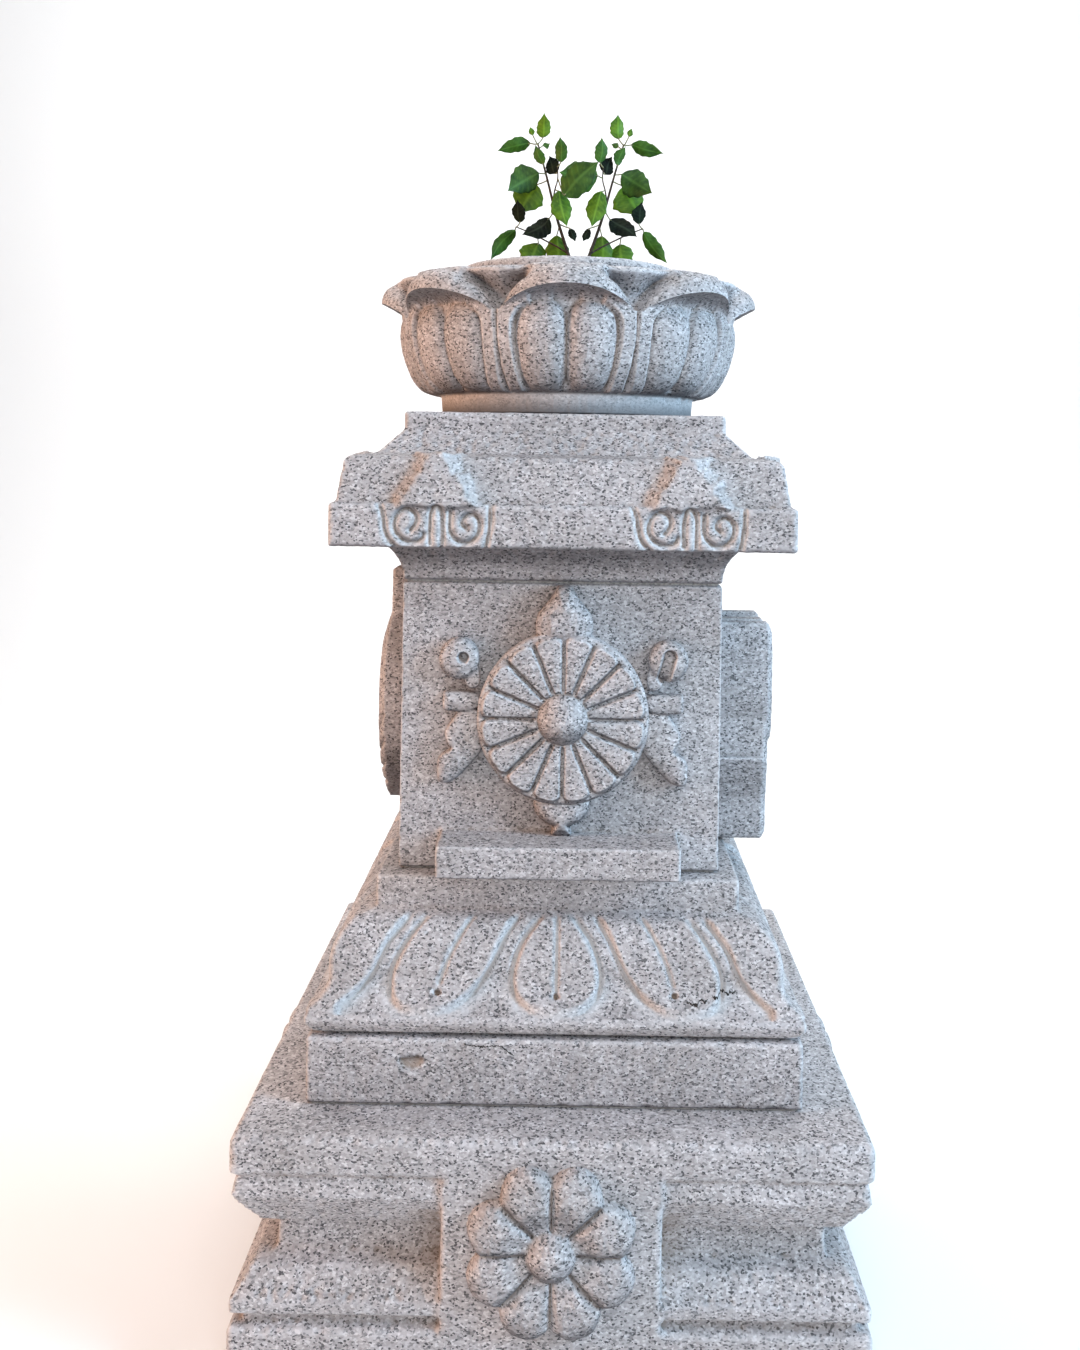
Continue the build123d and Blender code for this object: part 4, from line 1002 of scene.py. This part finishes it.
def makeBowl():
    b = bowl
    n = b["columns"]
    gap = 2 * pi / b["petals"]
    angle = np.arange(n) * 2 * pi / n - pi / 2
    off = (angle + pi / 2 + gap / 2) % gap - gap / 2  # from the nearest petal's middle
    lipSide = np.abs(b["lipRadius"] * np.sin(off))
    q = np.clip(lipSide / b["lipHalf"], 0, 1)
    between = step(lipSide, b["lipHalf"] - 1, b["lipHalf"] + 2)
    (tipR, tipZ), (footR, footZ) = b["tip"], b["foot"]
    edgeR = tipR - (tipR - footR) * q ** 1.8 - between * 6
    edgeZ = tipZ - (tipZ - footZ) * q ** 2.2
    # the wall, with a sunk field and two swelling lobes in each petal
    profile = np.array(rounded(b["wall"], 3))
    slope = np.gradient(profile, axis=0)
    slope /= np.hypot(slope[:, 0], slope[:, 1])[:, None]
    share = np.linspace(0, 1, b["wallRows"])[:, None]
    low = b["wall"][0][1]
    height = low + (edgeZ - 13 * (1 - q * q) - 1 - low)[None, :] * share
    radius, outR, outZ = (np.interp(height, profile[:, 1], column)
                          for column in (profile[:, 0], slope[:, 1], -slope[:, 0]))
    side = np.abs(radius * np.sin(off)[None, :])
    heights, widths = zip(*b["halfWidths"])
    half = np.interp(height, heights, widths)
    arch = np.sqrt(np.clip(1 - (np.maximum(height - b["archStart"], 0) / b["archReach"]) ** 2, 0.05, 1))
    petal = step(half - side, -1.6, 1.2)
    field = step((half - b["band"]) * arch - side, -2.0, 0.5) * step(height, low + 1, low + 9)
    u = (side * widths[-1] / half - b["lobeMiddle"]) / b["lobeHalf"]
    middle, reach = (b["lobeLow"] + b["lobeHigh"]) / 2, (b["lobeHigh"] - b["lobeLow"]) / 2
    v = (height - middle) / reach
    power = np.where(v > 0, 2.6, 7.0)
    lobe = np.sqrt(np.clip(1 - np.abs(u) ** 2.6 - np.abs(v) ** power, 0, 1)) * (arch > 0.5)
    push = petal * b["raise"] - field * b["recess"] + lobe * field * b["lobeRise"]
    push *= step(height, low - 2, low + 8)
    wallR, wallZ = radius + push * outR, height + push * outZ
    # the hollow underside of the lip
    t = (np.arange(1, b["coveRows"] + 1) / b["coveRows"])[:, None]
    startR, startZ = wallR[-1], wallZ[-1]
    coveR = curve(startR, startR + (edgeR - startR) * 0.2, edgeR, t)
    coveZ = curve(startZ, edgeZ - 2, edgeZ, t)
    # over the lip: a dome in the middle, and at the sides the rim's face, a notch behind it
    # and the narrow petal that looks out between each pair
    outerZ = b["outerTop"] - (b["outerTop"] - footZ) * q ** 3.2
    behind = np.abs(b["backTip"][0] * np.sin(gap / 2 - np.abs(off)))
    backR = b["backTip"][0] - b["backDrop"] * np.clip(behind / b["backWidth"], 0, 1.4) ** 2
    backZ = b["backTip"][1]
    dome = [(edgeR + out, edgeZ + up) for out, up in b["domeSteps"]] + b["domeBack"] + [b["crest"]]
    sides = [(edgeR, edgeZ), (edgeR - 4, outerZ), (b["notch"], outerZ + 3),
             (b["notch"], outerZ + 0.4 * (backZ - outerZ)), (backR, backZ), (backR - 2, b["crest"][1] - 1),
             b["crest"]]
    w = step(lipSide, *b["domeSpan"])
    stops = [tuple(m * (1 - w) + f * w for m, f in zip(one, other)) for one, other in zip(dome, sides)]
    lip = rounded(stops, 2)
    t = (np.arange(1, b["fallRows"] + 1) / b["fallRows"])[:, None]
    fallR, fallZ = (curve(lip[-1][i], b["fallBy"][i], b["fallTo"][i], t) for i in (0, 1))
    foot, inside = (np.array(b[name])[:, :, None] * np.ones(n) for name in ("footRing", "inside"))
    r, z = (np.vstack([foot[:, i], wall, cove, [stop[i] for stop in lip], fall, inside[:, i]])
            for i, wall, cove, fall in ((0, wallR, coveR, fallR), (1, wallZ, coveZ, fallZ)))
    points = list(zip((r * np.cos(angle)).ravel(), (r * np.sin(angle)).ravel(), (z + b["base"]).ravel()))
    last = (len(r) - 1) * n
    # the last band is the underside, from the drain to the foot
    faces = bands(len(r), n) + [(last + k, last + (k + 1) % n, (k + 1) % n, k) for k in range(n)]
    piece = newPiece("lotusBowl", points, faces)
    soften(piece, 2)
    weather(piece, *b["dressing"])
    points = readPoints(piece)
    # painted light: the foot, which the lobes shade, is made paler
    isFoot = (np.hypot(points[:, 0], points[:, 1]) < 150) & (points[:, 2] < b["base"] + 24)
    mark(piece, "paleCutAndLight", isFoot * b["footLight"])
    finishPiece(piece, "bowl", ["lotus_bowl"], [bowlGranite])


soil = {"top": 1102, "radius": 106.4, "bottom": 1010, "bottomRadius": 96, "rings": 34, "spokes": 120,
        "crumbs": (1.6, 1.2, 12)}


def makeSoil():
    rings, spokes = soil["rings"], soil["spokes"]
    points = [(0, 0, soil["top"] + 1)]
    for i in range(1, rings + 1):
        points += [(x, y, soil["top"]) for x, y in circle(soil["radius"] * i / rings, spokes)]
    points += [(x, y, soil["bottom"]) for x, y in circle(soil["bottomRadius"], spokes)]
    piece = newPiece("pottingSoil", points, discFaces(rings, spokes))
    weather(piece, *soil["crumbs"])
    finishPiece(piece, "bowl", ["soil", "root_ball"], [pottingSoil])


makeBowl()
makeSoil()


plant = {
    "across": 11.5, "buried": 20, "bladeRows": 26, "bladeColumns": 12, "thickness": 0.35,
    "veins": 7, "veinSlant": 0.16, "veinShare": 0.55, "mottleScale": 90, "bump": 0.35, "bumpDepth": 0.6,
    # the radius of each stem at its root and its end
    "stemRadii": (2.6, 0.8), "shootRadii": (1.2, 0.7), "innerRadii": (1.0, 0.7), "stalkRadii": (0.65, 0.5),
}
# places on the left hand: across, up from the soil and forward
mainStem = [(-3.2, 0, 0), (-13, 27, 0), (-25, 62, 2), (-32, 87, 3), (-39, 115, 2), (-47, 143, 0),
            (-51, 158, -2)]
lowShoot = [(-13, 27, 0), (-26, 36, -6), (-41, 44, -10), (-58, 53, -12), (-76, 60, -12)]
innerShoot = [(-32, 87, 3), (-30, 101, 8), (-26, 112, 11), (-27, 128, 12)]
# stalk root, heel, tip, width, turn and finish of each leaf
leafList = [
    ((-51, 157, -2), (-45, 165, -4), (-43, 194, -8), 18, 15, "bright"),
    ((-51, 157, -2), (-60, 158, -3), (-99, 151, -8), 19, 35, "mid"),
    ((-50, 154, -2), (-57, 166, 4), (-60, 175, 6), 7, 10, "bright"),
    ((-50, 152, -1), (-45, 156, -5), (-37, 159, -8), 8, 12, "mid"),
    ((-43, 129, 1), (-44, 131, 6), (-52, 153, 10), 14, 28, "mid"),
    ((-27, 127, 12), (-23, 132, 14), (-24, 161, 18), 16, 16, "mid"),
    ((-26.6, 121, 11.5), (-30, 120, 7), (-36, 142, 2), 20, 30, "dark"),
    ((-41, 121, 2), (-49, 121, 6), (-86, 98, 10), 33, 14, "deep"),
    ((-39, 113, 2), (-52, 110, -8), (-72, 76, -16), 39, -8, "bright"),
    ((-75, 60, -12), (-71, 64, -6), (-73, 90, 0), 21, 38, "dark"),
    ((-76, 60, -12), (-77, 57, -15), (-107, 21, -20), 18, 20, "mid"),
    ((-30, 78, 2), (-36, 70, -8), (-67, 46, -4), 29, -30, "dark"),
    ((-50, 49, -11), (-49, 42, -18), (-58, 8, -24), 32, 5, "bright"),
    ((-24, 59, 2), (-27, 51, -14), (-26, 6, -20), 27, -8, "bright"),
    ((-29, 101, 8), (-25, 98, 16), (-15, 54, 20), 24, 8, "bright"),
    ((-25, 62, 2), (-11, 56, 6), (-5, 40, 6), 10, 15, "dark"),
]
middleLeaves = {1: ((-26.1, 113, 11), (-19, 90, 27), (22, 128, 33), 37, 8, "deep"),
                -1: ((-26.2, 115, 11), (-21, 116, 18), (25, 118, 24), 38, -7, "mid")}
leafTones = {
    "bright": ((0.04, 0.12, 0.003), (0.105, 0.225, 0.007)),
    "mid": ((0.018, 0.07, 0.005), (0.045, 0.135, 0.01)),
    "deep": ((0.014, 0.055, 0.008), (0.045, 0.12, 0.012)),
    "dark": ((0.004, 0.006, 0.005), (0.012, 0.02, 0.01)),
}


def makeLeafSkin(name, tones):
    isDull = name == "dark"
    made, tree, shader = newMaterial("leaf" + name, 0.85 if isDull else 0.5)
    shader.inputs["Specular IOR Level"].default_value = 0.1 if isDull else 0.3
    place = addNode(tree, "TexCoord", {}).outputs["Object"]
    mottle = cloudy(tree, place, plant["mottleScale"], 4).outputs["Fac"]
    blend = ramp(tree, mottle, [(0.35, tones[0]), (0.65, tones[1])])
    paleVein = tuple(min(1, c * 1.9 + 0.02) for c in tones[1])
    vein = partOf(tree, pointValue(tree, "vein"), plant["veinShare"])
    tree.links.new(mixColour(tree, "MIX", vein, blend, paleVein), shader.inputs["Base Color"])
    addBump(tree, shader, mottle, plant["bump"], plant["bumpDepth"])
    return made


leafSkins = {name: makeLeafSkin(name, tones) for name, tones in leafTones.items()}


def plantPoint(spot, hand):
    across, up, forward = spot
    return Vector((plant["across"] + hand * across, -forward, soil["top"] + up))


def tube(spots, radii, sides=10):
    # a round tapered stem along a smoothed line
    line = [Vector(p) for p in rounded([tuple(p) for p in spots], 2)]
    points = []
    last = len(line) - 1
    for i, p in enumerate(line):
        along = (line[min(i + 1, last)] - line[max(i - 1, 0)]).normalized()
        across = along.cross(Vector((0.3, 1, 0.1))).normalized()
        other = along.cross(across)
        points += [tuple(p + across * u + other * v)
                   for u, v in circle(radii[0] + (radii[1] - radii[0]) * i / last, sides)]
    return points, closedBands(len(line), sides)


def makeStem(hand, name, node):
    buried = [(mainStem[0][0], -plant["buried"], 0)] + mainStem
    runs = [tube([plantPoint(spot, hand) for spot in line], plant[radii])
            for line, radii in ((buried, "stemRadii"), (lowShoot, "shootRadii"), (innerShoot, "innerRadii"))]
    finishPiece(newPiece(name, *together(runs)), "bowl", [node], [stemBark])


def makeLeaf(root, heel, tip, width, turn, hand, seed):
    # a pointed blade folded a little along its midrib, with sunk side veins
    root, heel, tip = (plantPoint(s, hand) for s in (root, heel, tip))
    along = tip - heel
    long = along.length
    forward = along.normalized()
    side = Vector((0, -1, 0)).cross(forward).normalized()
    face = forward.cross(side).normalized() * -1
    a = radians(hand * turn)
    side, face = side * cos(a) + face * sin(a), face * cos(a) - side * sin(a)
    rows, columns = plant["bladeRows"], plant["bladeColumns"]
    points, veins = [], []
    for i in range(rows + 1):
        t = i / rows
        half = width / 2 * (sin(pi * min(t * 1.02, 1) ** 0.82) ** 0.78 if 0 < t < 0.985 else 0.0)
        half *= 1 - 0.45 * step(np.array(t), 0.68, 1.0)
        half = float(half) * (1 + 0.05 * sin(t * 30 + seed) + 0.05 * sin(t * 11 + seed * 3))
        bend = long * 0.07 * sin(seed * 2.1) * sin(pi * t)
        droop = -long * 0.10 * t * t + long * 0.03 * sin(t * 5 + seed)
        for k in range(columns + 1):
            w = (k / columns) * 2 - 1
            cup = abs(w) ** 1.5 * half * 0.20 + 0.5 * sin(t * 9 + w * 2 + seed)
            branch = ((t - abs(w) * plant["veinSlant"]) * plant["veins"]) % 1
            rib = max(0, 1 - abs(branch - 0.5) * 7) * min(1, abs(w) * 4)
            middle = max(0, 1 - abs(w) * 7)
            reach = half * w * (1 + 0.12 * sin(seed * 3 + 1) * w) + bend
            p = heel + forward * (long * t) + side * reach + face * (cup + droop - 0.5 * rib * half / 12)
            points.append(tuple(p))
            veins.append(min(1, middle + rib * 0.6))
    stalk = tube([root, (root + heel) / 2 + Vector((0, 0, -0.6)), heel, heel + forward * long * 0.06],
                 plant["stalkRadii"], 6)
    return (points, bands(rows + 1, columns + 1, around=False), veins), stalk


def makeLeaves(hand, name, node):
    points, faces, veins, skins = [], [], [], []
    order = list(leafSkins)
    for i, leaf in enumerate(leafList + [middleLeaves[hand]]):
        (blade, bladeFaces, bladeVeins), (stalk, stalkFaces) = makeLeaf(*leaf[:5], hand, i * 1.7)
        for some, someFaces, someVeins, skin in (
                (blade, bladeFaces, bladeVeins, order.index(leaf[5])),
                (stalk, stalkFaces, [0] * len(stalk), len(order))):
            faces += [tuple(j + len(points) for j in face) for face in someFaces]
            points += some
            veins += someVeins
            skins += [skin] * len(someFaces)
    piece = newPiece(name, points, faces)
    for skin in (*leafSkins.values(), greenTwig):
        piece.data.materials.append(skin)
    piece.data.polygons.foreach_set("material_index", skins)
    mark(piece, "vein", veins)
    thick = piece.modifiers.new("thick", "SOLIDIFY")
    thick.thickness, thick.offset = plant["thickness"] * mm, 0
    settle(piece)
    finishPiece(piece, "bowl", [node], [])


makeStem(1, "leftStem", "left_stem")
makeStem(-1, "rightStem", "right_stem")
makeLeaves(1, "leftLeaves", "left_leaves")
makeLeaves(-1, "rightLeaves", "right_leaves")
print("plant ready")
